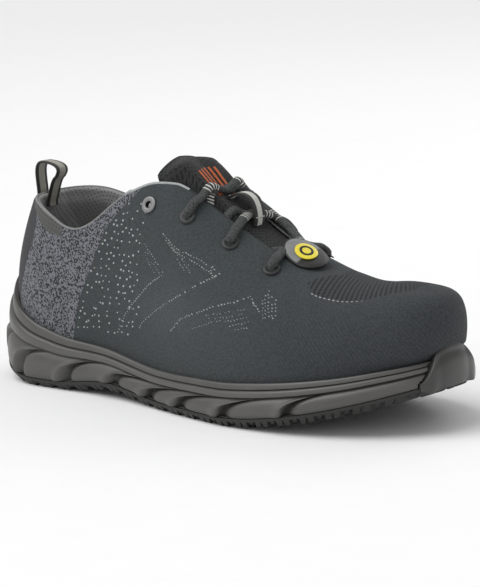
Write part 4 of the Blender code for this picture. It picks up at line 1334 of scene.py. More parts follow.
def zone_masks(point):
    """Where each pattern of the knit lies, and the toe's painted shade, as two sets of four masks."""
    x, z, off = point.x, point.z, abs(point.y - middle_y(point.x))
    speckle = ease((along_edge(SPECKLE_EDGE, z) - x) / 0.003 + 0.5)
    cloth = ease((along_edge(HEEL_CLOTH_EDGE, z) - x) / 0.0012 + 0.5)
    half = blend(SLIT_PANEL, "half", x)
    slits = ease((half - off) / 0.0015 + 0.5) * ease((0.2415 - x) / 0.004)
    slits *= ease((x - SLIT_PANEL[0].x - SLIT_SLANT * (0.021 - off)) / 0.002) * ease((z - 0.055) / 0.005)
    ribs = ease((x - 0.150) / 0.045) * ease((z - 0.026) / 0.010) * ease((0.070 - z) / 0.018)
    # Painted shade: the knit darkens towards the toe's front.
    toe = ease((x - 0.135) / 0.095)
    hatch = math.exp(-(((x - 0.100) / 0.034) ** 2) - ((z - 0.055) / 0.017) ** 2) * (1 - speckle)
    wrap = ease((x - along_edge(WRAP_EDGE, z)) / 0.0006 + 0.5) * ease((z - WRAP_EDGE[0].height) / 0.0004)
    wrap *= ease((0.017 - x) / 0.002)
    return (speckle, slits, ribs, wrap), (toe, cloth, hatch, 1.0)


def paint_zones(mesh):
    """Writes the pattern masks and the toe's painted shade on the knit's points."""
    zones = mesh.color_attributes.new("zones", "FLOAT_COLOR", "POINT")
    trims = mesh.color_attributes.new("trims", "FLOAT_COLOR", "POINT")
    for number, vert in enumerate(mesh.vertices):
        zones.data[number].color, trims.data[number].color = zone_masks(vert.co)


class SNEAKER_OT_upper(bpy.types.Operator):
    """Makes the knit upper with its lining and cuts the lace holes"""

    bl_idname = "sneaker.upper"
    bl_label = "Knit upper"

    def execute(self, context):
        points, faces, kinds, maps = [], [], [], []
        for side, _ in SIDES:
            columns = knit_columns(side)
            start, count = len(points), len(columns[0][0])
            for rows, _, _, _ in columns:
                points += rows
            for k in range(KNIT_COLUMNS):
                shut = columns[k][3] == 1.0 and columns[k + 1][3] == 1.0
                for row in range(count):
                    if shut and KNIT_ROWS <= row < count - KNIT_ROWS - 1:
                        continue
                    after = (row + 1) % count
                    here, there = start + k * count, start + (k + 1) * count
                    faces.append((here + row, there + row, there + after, here + after))
                    kinds.append(int(row >= KNIT_ROWS + EDGE_STEPS // 2))
                    near, far = columns[k], columns[k + 1]
                    corners = ((near, row), (far, row), (far, after), (near, after))
                    maps.append([(column[2], column[1][k]) for column, k in corners])
        obj = cleaned(mesh_object("knit_upper", points, faces, ("knit", "lining"), kinds, maps))
        cutters = []
        for hole in HOLES:
            for side, _ in SIDES:
                centre, normal = hole_spot(hole, side)
                turn = normal.to_track_quat("Z", "Y").to_euler()
                bpy.ops.mesh.primitive_cylinder_add(
                    vertices=24, radius=HOLE_RADIUS, depth=HOLE_CUT, location=centre, rotation=turn
                )
                cutters.append(context.object)
        only(cutters[0])
        for cutter in cutters:
            cutter.select_set(True)
        bpy.ops.object.join()
        cut = obj.modifiers.new("lace holes", "BOOLEAN")
        cut.operation, cut.solver, cut.object = "DIFFERENCE", "EXACT", cutters[0]
        only(obj)
        bpy.ops.object.modifier_apply(modifier=cut.name)
        bpy.data.objects.remove(cutters[0])
        paint_zones(obj.data)
        wear_piece(obj, "knit", "upper", angle=60)
        return {"FINISHED"}


def fleck(point, normal, along, size, long):
    """A small raised stitch: a low dome with six corners, or longer along one way."""
    along = (along - normal * along.dot(normal)).normalized()
    across = normal.cross(along)
    ring = []
    for n in range(6):
        angle = math.pi * n / 3
        out = along * math.cos(angle) * long + across * math.sin(angle)
        ring.append(point + out * size - normal * FLECK_SINK)
    top = point + normal * size * 0.55
    foot = point - normal * size * 0.5
    faces = [(n, (n + 1) % 6, 6) for n in range(6)] + [((n + 1) % 6, n, 7) for n in range(6)]
    return ring + [top, foot], faces, [[(0.0, 0.0)] * 3] * 12


def line_spots(points, gap):
    """Places along a line of points, a gap apart."""
    spots, spare = [], 0.0
    for (x0, z0), (x1, z1) in zip(points, points[1:]):
        run = math.hypot(x1 - x0, z1 - z0)
        while spare < run:
            share = spare / run
            spots.append((x0 + (x1 - x0) * share, z0 + (z1 - z0) * share))
            spare += gap
        spare -= run
    return spots


class SNEAKER_OT_flecks(bpy.types.Operator):
    """Sets the light stitches of the side pattern and along the vamp panel"""

    bl_idname = "sneaker.flecks"
    bl_label = "Light stitches"

    def execute(self, context):
        chance = random.Random(7)
        spots = []
        for row in range(SCATTER_ROWS):
            height = SCATTER_LOW + row * SCATTER_STEP
            edge = along_edge(SPECKLE_EDGE, height) + 0.003
            for column in range(SCATTER_COLUMNS):
                x = edge + column * SCATTER_STEP + chance.uniform(-0.0014, 0.0014)
                z = height + chance.uniform(-0.0012, 0.0012)
                kept = chance.random() < SCATTER_KEPT * (1.1 - 0.5 * column / SCATTER_COLUMNS)
                if kept and x < SCATTER_FAR:
                    spots.append((x, z, chance.uniform(0.00050, 0.00074), 1.25))
        scattered = len(spots)
        for line in LIGHT_LINES:
            for x, z in line_spots([(0.001 * x, 0.001 * z) for x, z in line.points], LINE_GAP):
                size = 0.001 * line.size * chance.uniform(0.80, 1.20)
                x += chance.uniform(-LINE_STRAY, LINE_STRAY)
                z += chance.uniform(-LINE_STRAY, LINE_STRAY)
                if chance.random() < LINE_KEPT:
                    spots.append((x, z, size, 1.7))
        parts, kinds = [], []
        for side, _ in SIDES:
            for number, (x, z, size, long) in enumerate(spots):
                point, normal = from_beside(x, z, side)
                if point:
                    dim = int(number >= scattered)
                    lean = Vector((1, 0, (0.35, -0.45)[dim]))
                    parts.append(fleck(point + normal * crease(point), normal, lean, size, long))
                    kinds += [dim] * 12
            for k in range(PANEL_STITCHES):
                x = PANEL_START + PANEL_STEP * k
                y = middle_y(x) + side * (blend(SLIT_PANEL, "half", x) + 0.0008)
                point, normal = from_above(x, y)
                parts.append(fleck(point, normal, Vector((1, 0, 0)), 0.00040, 2.1))
                kinds += [0] * 12
        points, faces, maps = joined(parts)
        obj = mesh_object("light_stitches", points, faces, ("stitches", "dim_stitches"), kinds, maps)
        wear_piece(obj, "knit")
        return {"FINISHED"}


def bar_piece(name, material, slot, parts, *nodes, angle=40):
    """A finished piece of one material made of several bars."""
    points, faces, maps = joined(parts)
    obj = cleaned(mesh_object(name, points, faces, (material,), None, maps))
    return wear_piece(obj, slot, *nodes, angle=angle)


def edge_spots(side, low, high, count, lift=0.0):
    """Points along the top edge of the knit between two turns, and the way out of it."""
    path, ups = [], []
    for k in range(count + 1):
        turn = low + (high - low) * k / count
        top = top_up(turn, side)
        point, normal = last_point(turn, side, top), last_normal(turn, side, top)
        half = wall_thickness(turn, side, top, top) / 2
        rising = (point - last_point(turn, side, top - 0.01)).normalized()
        path.append(point - normal * half * 0.55 + rising * (half * 0.62 + lift))
        ups.append(normal)
    return path, ups


class SNEAKER_OT_edges(bpy.types.Operator):
    """Binds the collar's edge and pipes the corner where it meets the throat"""

    bl_idname = "sneaker.edges"
    bl_label = "Collar binding and piping"

    def execute(self, context):
        radius = context.scene.sneaker_sizes.piping
        for name, material, low, high, size in (
            ("collar_binding", "binding", 0.004, 0.405, 0.85),
            ("throat_piping", "piping", 0.405, 0.506, 1.1),
            ("throat_binding", "seam", 0.506, 0.668, 0.75),
        ):
            parts = []
            for side, _ in SIDES:
                path, ups = edge_spots(side, low, high, 90)
                parts.append(round_bar(path, ups, 2 * radius * size, 2 * radius * size, sides=8))
            bar_piece(name, material, "knit", parts)
        return {"FINISHED"}


def guard_height(turn):
    """How far up the toe the guard reaches: it rises from its foot in a soft S."""
    inward = (turn - GUARD_TURN - GUARD_SHORTER) / (1 - GUARD_TURN - GUARD_SHORTER)
    return 0.14 + 0.62 * ease(inward / 0.55) + 0.24 * ease((inward - 0.15) / 0.75) if inward > 0 else 0.0


def fine_scallop(turn):
    """The cuts in the foam's side: steep towards the heel and soft towards the toe."""
    depth = 0.0
    for start in SCALLOPS:
        off = (turn - start) / SCALLOP_WIDTH
        depth += math.exp(-((off / (SCALLOP_SHARP if off < 0 else SCALLOP_SOFT)) ** 2))
        depth -= 0.34 * math.exp(-(((off + 1.25) / 0.8) ** 2))
    return SCALLOP_MORE * SCALLOP_DEPTH * depth * ease(turn / 0.05)


def foam_wall(turn, side, row):
    """A point on the outer wall of the foam."""
    moved = turn + row.sweep * swept_turn(turn)
    inset = SOLE_FLARE * row.rise - row.out * RIM_HEIGHT + fine_scallop(turn) * row.relief
    point = outline(moved, side, inset)
    foot, rim = plate_z(point.x) + LIP_RISE + FIT_GAP, rim_z(point.x, moved)
    covered = guard_height(moved) * (rim + GUARD_TOP - foot) / (rim - foot) - row.rise
    inset += (max(inset, GUARD_INSET + 1.5 * FIT_GAP) - inset) * ease((covered - 0.01) / 0.04)
    point = outline(moved, side, inset)
    point.z = foot + (rim - foot) * row.rise
    return point


def skinned(rings):
    """Faces over rings, with a ladder across the first and the last."""
    count = len(rings[0])
    faces = grid_faces(len(rings), count)
    for start in (0, (len(rings) - 1) * count):
        for k in range(count // 2):
            low, high = (count - k) % count, count - k - 1
            corners = (start + k, start + k + 1, start + high, start + low)
            faces.append(tuple(dict.fromkeys(corners)))
    return [point for ring in rings for point in ring], faces


class SNEAKER_OT_sole(bpy.types.Operator):
    """Makes the moulded foam with its scallops, groove, band and tray"""

    bl_idname = "sneaker.sole"
    bl_label = "Foam midsole"

    def execute(self, context):
        turns = [k / FOAM_COLUMNS for k in range(FOAM_COLUMNS + 1)]
        rings = []
        for lift in (FIT_GAP, LIP_RISE + FIT_GAP):
            ring = round_the_shoe(turns, lambda turn, side: outline(turn, side, LIP_WALL + FIT_GAP))
            for point in ring:
                point.z = plate_z(point.x) + lift
            rings.append(ring)
        for row in WALL_ROWS:
            rings.append(round_the_shoe(turns, lambda turn, side: foam_wall(turn, side, row)))
        moved = [turn + swept_turn(turn) for turn in turns]
        for in_tray in (False, True):
            ring = round_the_shoe(moved, lambda turn, side: outline(turn, side, SOLE_FLARE + RIM_WALL))
            for point, turn in zip(ring, moved + moved[-2:0:-1]):
                point.z = bed_z(point.x) if in_tray else rim_z(point.x, turn) - 0.0003
            rings.append(ring)
        points, faces = skinned(rings)
        obj = mesh_object("foam_midsole", points, faces, ("foam",))
        # The foam's points carry painted shade in red and a painted highlight in green, from the scallops'
        # depth and the groove rows.
        shade = obj.data.color_attributes.new("hollows", "FLOAT_COLOR", "POINT")
        painted_shading_levels = [0.0] * (2 * len(rings[0]))
        for row in WALL_ROWS:
            for turn in turns + turns[-2:0:-1]:
                cut = fine_scallop(turn) / (SCALLOP_MORE * SCALLOP_DEPTH) * row.relief
                painted_shading_levels.append(max(-0.3, min(1.0, cut + PAINTED_SHADE_ROWS.get(row.rise, 0.0))))
        painted_shading_levels += [0.0] * (2 * len(rings[0]))
        for number, deep in enumerate(painted_shading_levels):
            shade.data[number].color = (max(deep, 0.0), max(-deep, 0.0), 0.0, 1.0)
        wear_piece(cleaned(obj), "foam", "midsole", angle=50)
        return {"FINISHED"}


def tread_columns():
    """Turns of the tread's columns, each low or high at the edge, with narrow slits in the lugs."""
    count = round(SOLE_LENGTH / LUG_PITCH)
    origin = (HEEL_REST - LUG_INSET) / (SOLE_LENGTH - 2 * LUG_INSET)
    shift = ((1 + LUG_SHARE) / 2 - origin * count) % 1.0
    slope = LUG_SLOPE * count / SOLE_LENGTH
    slit, half = 0.055, LUG_SHARE / 2
    steps = (
        (0.0, 1.0), (half - slit, 1.0), (half - slit / 2, 0.35), (half + slit / 2, 0.35),
        (half + slit, 1.0), (LUG_SHARE, 1.0), (LUG_SHARE + slope, 0.0), (LUG_SHARE + 0.13, 0.0),
        (LUG_SHARE + 0.16, 0.45), (LUG_SHARE + 0.30, 0.45), (LUG_SHARE + 0.33, 0.0), (1 - slope, 0.0),
    )
    low = {0.0: 0.0, 1.0: 0.0}
    for k in range(-1, count + 1):
        for share, down in steps:
            along = (k - shift + share) / count
            if 0.002 < along < 0.998:
                low[math.acos(1 - 2 * along) / math.pi] = down
    for turn in (0.010, 0.020, 0.030, 0.970, 0.980, 0.990):
        low.setdefault(turn, 0.0)
    turns = sorted(low)
    return turns, [low[turn] for turn in turns]


class SNEAKER_OT_tread(bpy.types.Operator):
    """Makes the rubber tread with its lugs, slits and lip"""

    bl_idname = "sneaker.tread"
    bl_label = "Rubber tread"

    def execute(self, context):
        turns, low = tread_columns()
        edge = (1 - LUG_SPLIT) / 2
        shares = (0.0, 0.06, edge - 0.006, edge, edge + 0.012, 0.44, 0.46, 0.54, 0.56)
        shares += (1 - edge - 0.012, 1 - edge, 1 - edge + 0.006, 0.94, 1.0)
        points = []
        for turn, down in zip(turns, low):
            ends, brim, inner = (
                [outline(turn, side, inset) for side in (LATERAL, MEDIAL)]
                for inset in (LUG_INSET, -0.0002, LIP_WALL)
            )
            lips = []
            for foot, out in zip(inner, brim):
                lip = ((foot, 0.0), (foot, LIP_RISE), (out, LIP_RISE), (out, -0.4 * TREAD_PLATE))
                lips.append([Vector((*spot.xy, plate_z(spot.x) + lift)) for spot, lift in lip])
            row = list(lips[0])
            for number, share in enumerate(shares):
                point = ends[0].lerp(ends[1], share)
                # Grooves part the edge lugs from the middle ones, which stand between them.
                middle = 4 <= number <= 9
                level = 0.0 if number in (3, 6, 7, 10) else (1.0 - down if middle else down)
                point.z = tread_z(point.x) + LUG_DEPTH * (1 - level)
                row.append(point)
            points += row + lips[1][::-1]
        size = len(points) // len(turns)
        faces = grid_faces(len(turns), size)
        faces += [tuple(range(size)), tuple(range(len(points) - size, len(points)))]
        obj = cleaned(mesh_object("rubber_tread", points, faces, ("rubber",)))
        wear_piece(obj, "rubber", "outsole", angle=25)
        return {"FINISHED"}


class SNEAKER_OT_guard(bpy.types.Operator):
    """Makes the smooth rubber guard that wraps the toe"""

    bl_idname = "sneaker.guard"
    bl_label = "Toe guard"

    def execute(self, context):
        low = GUARD_TURN + GUARD_SHORTER
        turns = [low + (1 - low) * k / 34 for k in range(34)]
        tip = GUARD_TIP_INSET - GUARD_TIP_WALL
        rows = (
            (-0.22, 0.0010), (-0.14, -0.6 * GUARD_OUT), (0.10, -1.2 * GUARD_OUT), (0.35, -GUARD_OUT),
            (0.60, -0.5 * GUARD_OUT), (0.76, 0.0010), (0.90, tip - 0.0010), (0.97, tip - 0.0002),
            (1.00, GUARD_TIP_INSET - 0.5 * GUARD_TIP_WALL), (0.98, GUARD_TIP_INSET),
            (0.62, GUARD_INSET), (0.00, GUARD_INSET),
        )
        places = [(turn, LATERAL) for turn in turns] + [(1.0, LATERAL)]
        places += [(turn, MEDIAL) for turn in reversed(turns)]
        points = []
        for turn, side in places:
            inward = (turn - low) / (1 - low)
            swell = guard_height(turn + 1e-6)
            for share, inset in rows:
                point = outline(turn, side, inset)
                foot, rim = plate_z(point.x) + LIP_RISE + 2 * FIT_GAP, rim_z(point.x, turn)
                height = foot + (rim + GUARD_TOP - foot) * swell * share
                if share < 0:
                    low_z = tread_z(point.x) + (0.0004 if share < -0.2 else 0.0022)
                    height = foot - 0.002 + (low_z - foot + 0.002) * ease(inward / 0.25)
                over = ease((height - rim - GUARD_CLEAR) / (GUARD_TOP - GUARD_CLEAR))
                if inset < GUARD_INSET:
                    flush = -2.6 * GUARD_OUT if share < 0.95 else -0.5 * GUARD_OUT
                    inset = flush + (inset - flush) * max(over, ease((inward - 0.25) / 0.35))
                else:
                    top_edge = 0.5 * GUARD_TIP_WALL * (1 - over) if share == 1.0 else 0.0
                    inset = GUARD_INSET + (inset - GUARD_INSET) * over - top_edge
                point = outline(turn, side, inset)
                point.z = height
                points.append(point)
        faces = grid_faces(len(places), len(rows))
        faces += [tuple(range(len(rows))), tuple(range(len(points) - len(rows), len(points)))]
        obj = cleaned(mesh_object("toe_rubber", points, faces, ("guard",)))
        smooth = obj.modifiers.new("smooth", "SUBSURF")
        smooth.levels = smooth.render_levels = 2
        only(obj)
        bpy.ops.object.modifier_apply(modifier=smooth.name)
        wear_piece(obj, "rubber", "toe_guard", angle=60)
        return {"FINISHED"}


def tongue_turn(down):
    """Turn at a share of the tongue's length; its rows lie closer together towards the collar."""
    low, high = TONGUE[0].turn, TONGUE[-1].turn
    return low + (high - low) * down**TONGUE_PACE


def tongue_face(turn, share, layer=0):
    """A point of the tongue: share runs from -1 at the outer edge to 1 at the inner one."""
    side = LATERAL if share < 0 else MEDIAL
    low, high = TONGUE[0].turn, TONGUE[-1].turn
    row = ((turn - low) / (high - low)) ** (1 / TONGUE_PACE) * (TONGUE_SOLID_ROWS - 1)
    half = blend(TONGUE, "half", turn) * BALL_WIDTH
    up = tongue_up(turn, side, half * abs(share)) if share else 1.0
    rim = ease((1 - abs(share)) / 0.35) * ease(row / 2) * ease((TONGUE_SOLID_ROWS - 1 - row) / 2)
    point, ridge = last_point(turn, side, up), last_point(turn, side, 1.0)
    off = abs(point.y - middle_y(point.x))
    within = throat_half(share_of(point.x)) - off
    wide = ease((0.500 - turn) / 0.020) * ease((DOME_REACH - off) / 0.003)
    free = (0.002 if side == MEDIAL and turn < FREE_END else -0.001) + MESH_WIDE * wide
    bulge = TONGUE_BULGE * ease((BULGE_END - turn) / 0.05) * ease((within + MESH_WIDE * wide) / BULGE_EDGE)
    inside = ease((within + free) / (MESH_EDGE + 1.1 * MESH_WIDE * wide))
    flat = MESH_FLAT * ease((MESH_END - turn) / 0.04) * inside
    droop = MESH_DROOP * ease((DROOP_END - turn) / 0.024)
    point.z += flat * (ridge.z - point.z) - droop + PUFF * ease((PUFF_END - turn) / 0.035) * inside
    part = min(off / DOME_REACH, 1.0)
    dome = ridge.z + PUFF - droop - DOME_FALL * part**2.4
    point += Vector((-DOME_BACK * part**2, 0, dome - point.z)) * wide
    depth = WALL + TONGUE_GAP - bulge
    if layer:
        depth += TONGUE_EDGE + (TONGUE_THICKNESS - TONGUE_EDGE) * rim
    return point - last_normal(turn, side, up) * depth


@lru_cache(maxsize=None)
def tongue_shape():
    """The tongue's upper face as faces that rays can be cast at."""
    rows = tongue_grid(0)
    faces = grid_faces(len(rows), len(rows[0]), closed=False)
    return BVHTree.FromPolygons([point for row in rows for point in row], faces)


def tongue_top(x, y):
    """Height of the tongue's face under a point, or 0 beside it."""
    point = tongue_shape().ray_cast(Vector((x, y, RAY_TOP)), Vector((0, 0, -1)))[0]
    return point.z if point else 0.0


def tongue_grid(layer):
    """Rows of points over one face of the tongue."""
    shares = [column / TONGUE_COLUMNS for column in range(-TONGUE_COLUMNS, TONGUE_COLUMNS + 1)]
    return [
        [tongue_face(tongue_turn(row / TONGUE_ROWS), share, layer) for share in shares]
        for row in range(TONGUE_ROWS + 1)
    ]


class SNEAKER_OT_tongue(bpy.types.Operator):
    """Makes the padded mesh tongue, its edge binding and its plain printed stripes"""

    bl_idname = "sneaker.tongue"
    bl_label = "Tongue"

    def execute(self, context):
        across = 2 * TONGUE_COLUMNS + 1
        points = [point for layer in (0, 1) for row in tongue_grid(layer) for point in row]
        size = across * (TONGUE_ROWS + 1)
        spots = []
        for row in range(TONGUE_ROWS + 1):
            half = blend(TONGUE, "half", tongue_turn(row / TONGUE_ROWS)) * BALL_WIDTH
            for column in range(across):
                spots.append((points[row * across + TONGUE_COLUMNS].x, half * (column / TONGUE_COLUMNS - 1)))
        spots *= 2
        faces = grid_faces(TONGUE_ROWS + 1, across, closed=False)
        faces += [tuple(k + size for k in face) for face in faces]
        edge = list(range(across))
        edge += [row * across + across - 1 for row in range(1, TONGUE_ROWS + 1)]
        edge += [size - 1 - k for k in range(1, across)]
        edge += [row * across for row in range(TONGUE_ROWS - 1, 0, -1)]
        for here, after in zip(edge, edge[1:] + edge[:1]):
            faces.append((here, after, after + size, here + size))
        maps = [[spots[corner] for corner in face] for face in faces]
        obj = cleaned(mesh_object("mesh_tongue", points, faces, ("mesh",), None, maps))
        wear_piece(obj, "mesh", "tongue", angle=70)
        rim, ups = [], []
        for k in range(0, len(edge), 2):
            rim.append((points[edge[k]] + points[edge[k] + size]) / 2)
            ups.append((points[edge[k]] - points[edge[k] + size]).normalized())
        rim.append(rim[0])
        ups.append(ups[0])
        bar_piece("tongue_binding", "seam", "mesh", [round_bar(rim, ups, 0.0016, 0.0030, sides=8)])
        parts = []
        for stripe in range(STRIPES):
            share = STRIPE_FIRST + stripe * STRIPE_GAP
            path, ups = [], []
            for k in range(9):
                turn = STRIPE_LOW + (STRIPE_HIGH - STRIPE_LOW) * k / 8
                point = tongue_face(turn, share)
                ahead, beside = tongue_face(turn + 0.001, share), tongue_face(turn, share + 0.02)
                normal = (ahead - point).cross(beside - point).normalized()
                normal = normal if normal.z > 0 else -normal
                path.append(point + normal * 0.0002)
                ups.append(normal)
            parts.append(round_bar(path, ups, STRIPE_WIDTH, 0.0005, sides=8, flat=1.6))
        bar_piece("tongue_stripes", "print", "mesh", parts)
        return {"FINISHED"}


class SNEAKER_OT_rings(bpy.types.Operator):
    """Sets a ring in each lace hole"""

    bl_idname = "sneaker.rings"
    bl_label = "Lace rings"

    def execute(self, context):
        for number, hole in enumerate(HOLES, 1):
            for side, word in SIDES:
                centre, normal = hole_spot(hole, side)
                turn = normal.to_track_quat("Z", "Y").to_euler()
                bpy.ops.mesh.primitive_torus_add(
                    major_segments=40,
                    minor_segments=14,
                    major_radius=(RING_FLANGE + RING_BORE) / 2,
                    minor_radius=(RING_FLANGE - RING_BORE) / 2,
                )
                flange = context.object
                flange.data.materials.append(finishes()["ring" if number == 1 else "dark_ring"])
                flange.scale.z = 1.1 * RING_THICKNESS / flange.dimensions.z
                below = (0, 0, -WALL / 2)
                bpy.ops.mesh.primitive_cylinder_add(
                    vertices=40, radius=RING_BARREL, depth=WALL, location=below, end_fill_type="NOTHING"
                )
                barrel = context.object
                # Every barrel takes the dark ring colour: painted shade inside the hole.
                barrel.data.materials.append(finishes()["dark_ring"])
                wall = barrel.modifiers.new("wall", "SOLIDIFY")
                wall.thickness = RING_BARREL - RING_BORE
                only(barrel)
                bpy.ops.object.modifier_apply(modifier=wall.name)
                only(flange)
                bpy.ops.object.transform_apply(location=False, rotation=False, scale=True)
                barrel.select_set(True)
                bpy.ops.object.join()
                flange.location = centre + normal * (FIT_GAP + 0.4 * RING_THICKNESS)
                flange.rotation_euler = turn
                bpy.ops.object.transform_apply(location=True, rotation=True, scale=True)
                flange.name = f"lace_ring_{word}_{number}"
                wear_piece(flange, "ring", f"eyelet_{word}_{number}")
        return {"FINISHED"}


def lace_on_tongue(x, y, rise):
    """Where a strand lies over the last or over the tongue, whichever is higher."""
    spot = from_above(x, y, rise)[0]
    spot.z = max(spot.z, tongue_top(x, y) + 0.45 * LACE_THICKNESS)
    return spot


def strand_route(number, side, lean, sink):
    """A lace strand out of its hole, over the tongue and down inside the other edge."""
    start, start_up = hole_spot(HOLES[number], side)
    far, _ = hole_spot(HOLES[number], -side)
    beyond, _ = hole_spot(HOLES[number - 1 if lean > 0 else number + 1], -side)
    goal = far.lerp(beyond, abs(lean))
    edge = middle_y(goal.x) - side * (throat_half(share_of(goal.x)) - LACE_END_GAP)
    path = [start - start_up * 0.0050, start - start_up * 0.0014, start + start_up * 0.0016]
    steps = 8
    for k in range(1, steps + 1):
        share = k / steps
        rise = (
            LACE_THICKNESS / 2
            - 0.0002
            + (RING_THICKNESS + 2 * FIT_GAP) * ease((0.28 - share) / 0.25)
            - sink * math.sin(math.pi * max(0.0, (share - 0.30) / 0.70)) ** 2
            - (LACE_THICKNESS + 0.0002) * ease((share - 0.42) / 0.50)
        )
        x = start.x + (goal.x - start.x) * share
        y = start.y + (edge - start.y) * share
        path.append(lace_on_tongue(x, y, rise))
    for out, down in LACE_TUCK:
        path.append(path[steps + 2] + Vector((0, -side * out, -down)))
    return path


class SNEAKER_OT_laces(bpy.types.Operator):
    """Runs the round lace through the three lower pairs of holes"""

    bl_idname = "sneaker.laces"
    bl_label = "Laces"

    def execute(self, context):
        sizes = context.scene.sneaker_sizes
        for name, number, sink, lean in LACES:
            parts = []
            routes = [strand_route(number, side, lean, sink) for side, _ in SIDES]
            if number == 1:
                rise = LACE_THICKNESS / 2
                routes.append([lace_on_tongue(x, middle_y(x) + off, rise) for x, off in LACE_RUN])
            for spots in routes:
                path = smooth_path(spots, 0.0011)
                ups = []
                for k in range(len(path)):
                    along = heading(path, k)
                    up = Vector((0.25, 0, 1)) if abs(along.z) < 0.85 else Vector((1, 0, 0.6))
                    ups.append((up - along * up.dot(along)).normalized())
                for _ in range(6):
                    ups = [
                        (ups[max(k - 1, 0)] + ups[k] + ups[min(k + 1, len(ups) - 1)]).normalized()
                        for k in range(len(ups))
                    ]
                parts.append(round_bar(path, ups, sizes.lace_width, sizes.lace_height, sides=18, flat=1.12))
            bar_piece(name.replace("lace", "round_lace"), "cord", "cord", parts, name, angle=60)
        return {"FINISHED"}


class SNEAKER_OT_keeper(bpy.types.Operator):
    """Makes the tape bridge that holds the lace on the tongue"""

    bl_idname = "sneaker.keeper"
    bl_label = "Lace keeper"

    def execute(self, context):
        spots, ups = [], []
        steps, sink = 34, WALL + TONGUE_GAP
        for k in range(steps + 1):
            share = k / steps
            along = KEEPER_ALONG - KEEPER_BACK / SOLE_LENGTH + (share - 0.5) * KEEPER_SPAN / SOLE_LENGTH
            arch = max(0.0, math.sin(math.pi * share)) ** 0.62
            rise = WEBBING_THICKNESS / 2 + FIT_GAP - sink + (sink + KEEPER_RISE) * arch
            point, up = from_above(shoe_x(along), axis_y(along), rise)
            spots.append(point)
            ups.append(up)
        parts = [round_bar(spots, ups, KEEPER_WIDTH, WEBBING_THICKNESS, sides=20, flat=2.4)]
        bar_piece("keeper_tape", "keeper_tape", "webbing", parts, "lace_keeper")
        bars = []
        for k in (1, steps - 2):
            across = (spots[k + 1] - spots[k]).cross(ups[k]).normalized()
            middle = spots[k] + ups[k] * WEBBING_THICKNESS * 0.55
            path = [middle + across * 0.0034 * step for step in (-1, -0.5, 0, 0.5, 1)]
            bars.append(round_bar(path, [ups[k]] * 5, 0.0016, 0.0007, sides=8))
        bar_piece("keeper_stitches", "piping", "webbing", bars)
        return {"FINISHED"}


class SNEAKER_OT_loop(bpy.types.Operator):
    """Makes the woven loop at the back of the collar"""

    bl_idname = "sneaker.loop"
    bl_label = "Pull loop"

    def execute(self, context):
        top = top_up(0.0, LATERAL)
        collar = last_point(0.0, LATERAL, top)
        gap = WEBBING_THICKNESS / 2 + 1.5 * FIT_GAP
        outside, inside = [], []
        for drop in (PULL_LOOP_DROP, PULL_LOOP_DROP / 2, 0.001):
            for leg, up in ((outside, heel_up(collar.z - drop)), (inside, heel_up(collar.z - 0.3 * drop))):
                within = -wall_thickness(0.0, LATERAL, up, top) - 2 * gap
                off = gap if leg is outside else within
                leg.append(last_point(0.0, LATERAL, up) + last_normal(0.0, LATERAL, up) * off)
        back, front = outside[-1], inside[-1]
        middle, reach = (back + front) / 2, (front.x - back.x) / 2
        spots = list(outside)
        steps = 14
        for k in range(1, steps):
            angle = math.pi * (1 - k / steps)
            wide = reach + LOOP_SWELL * math.sin(angle) * (0.15 if angle > math.pi / 2 else 1.0)
            rise = LOOP_RISE * math.sin(angle) ** 0.7
            spots.append(Vector((middle.x + wide * math.cos(angle), 0, collar.z + 0.002 + rise)))
        path = smooth_path(spots + inside[::-1], 0.0012)
        ups = [heading(path, k).cross(Vector((0, 1, 0))) for k in range(len(path))]
        parts = [round_bar(path, ups, LOOP_WIDTH, WEBBING_THICKNESS, sides=24, flat=2.6)]
        bar_piece("woven_loop", "loop_tape", "webbing", parts, "heel_loop")
        return {"FINISHED"}


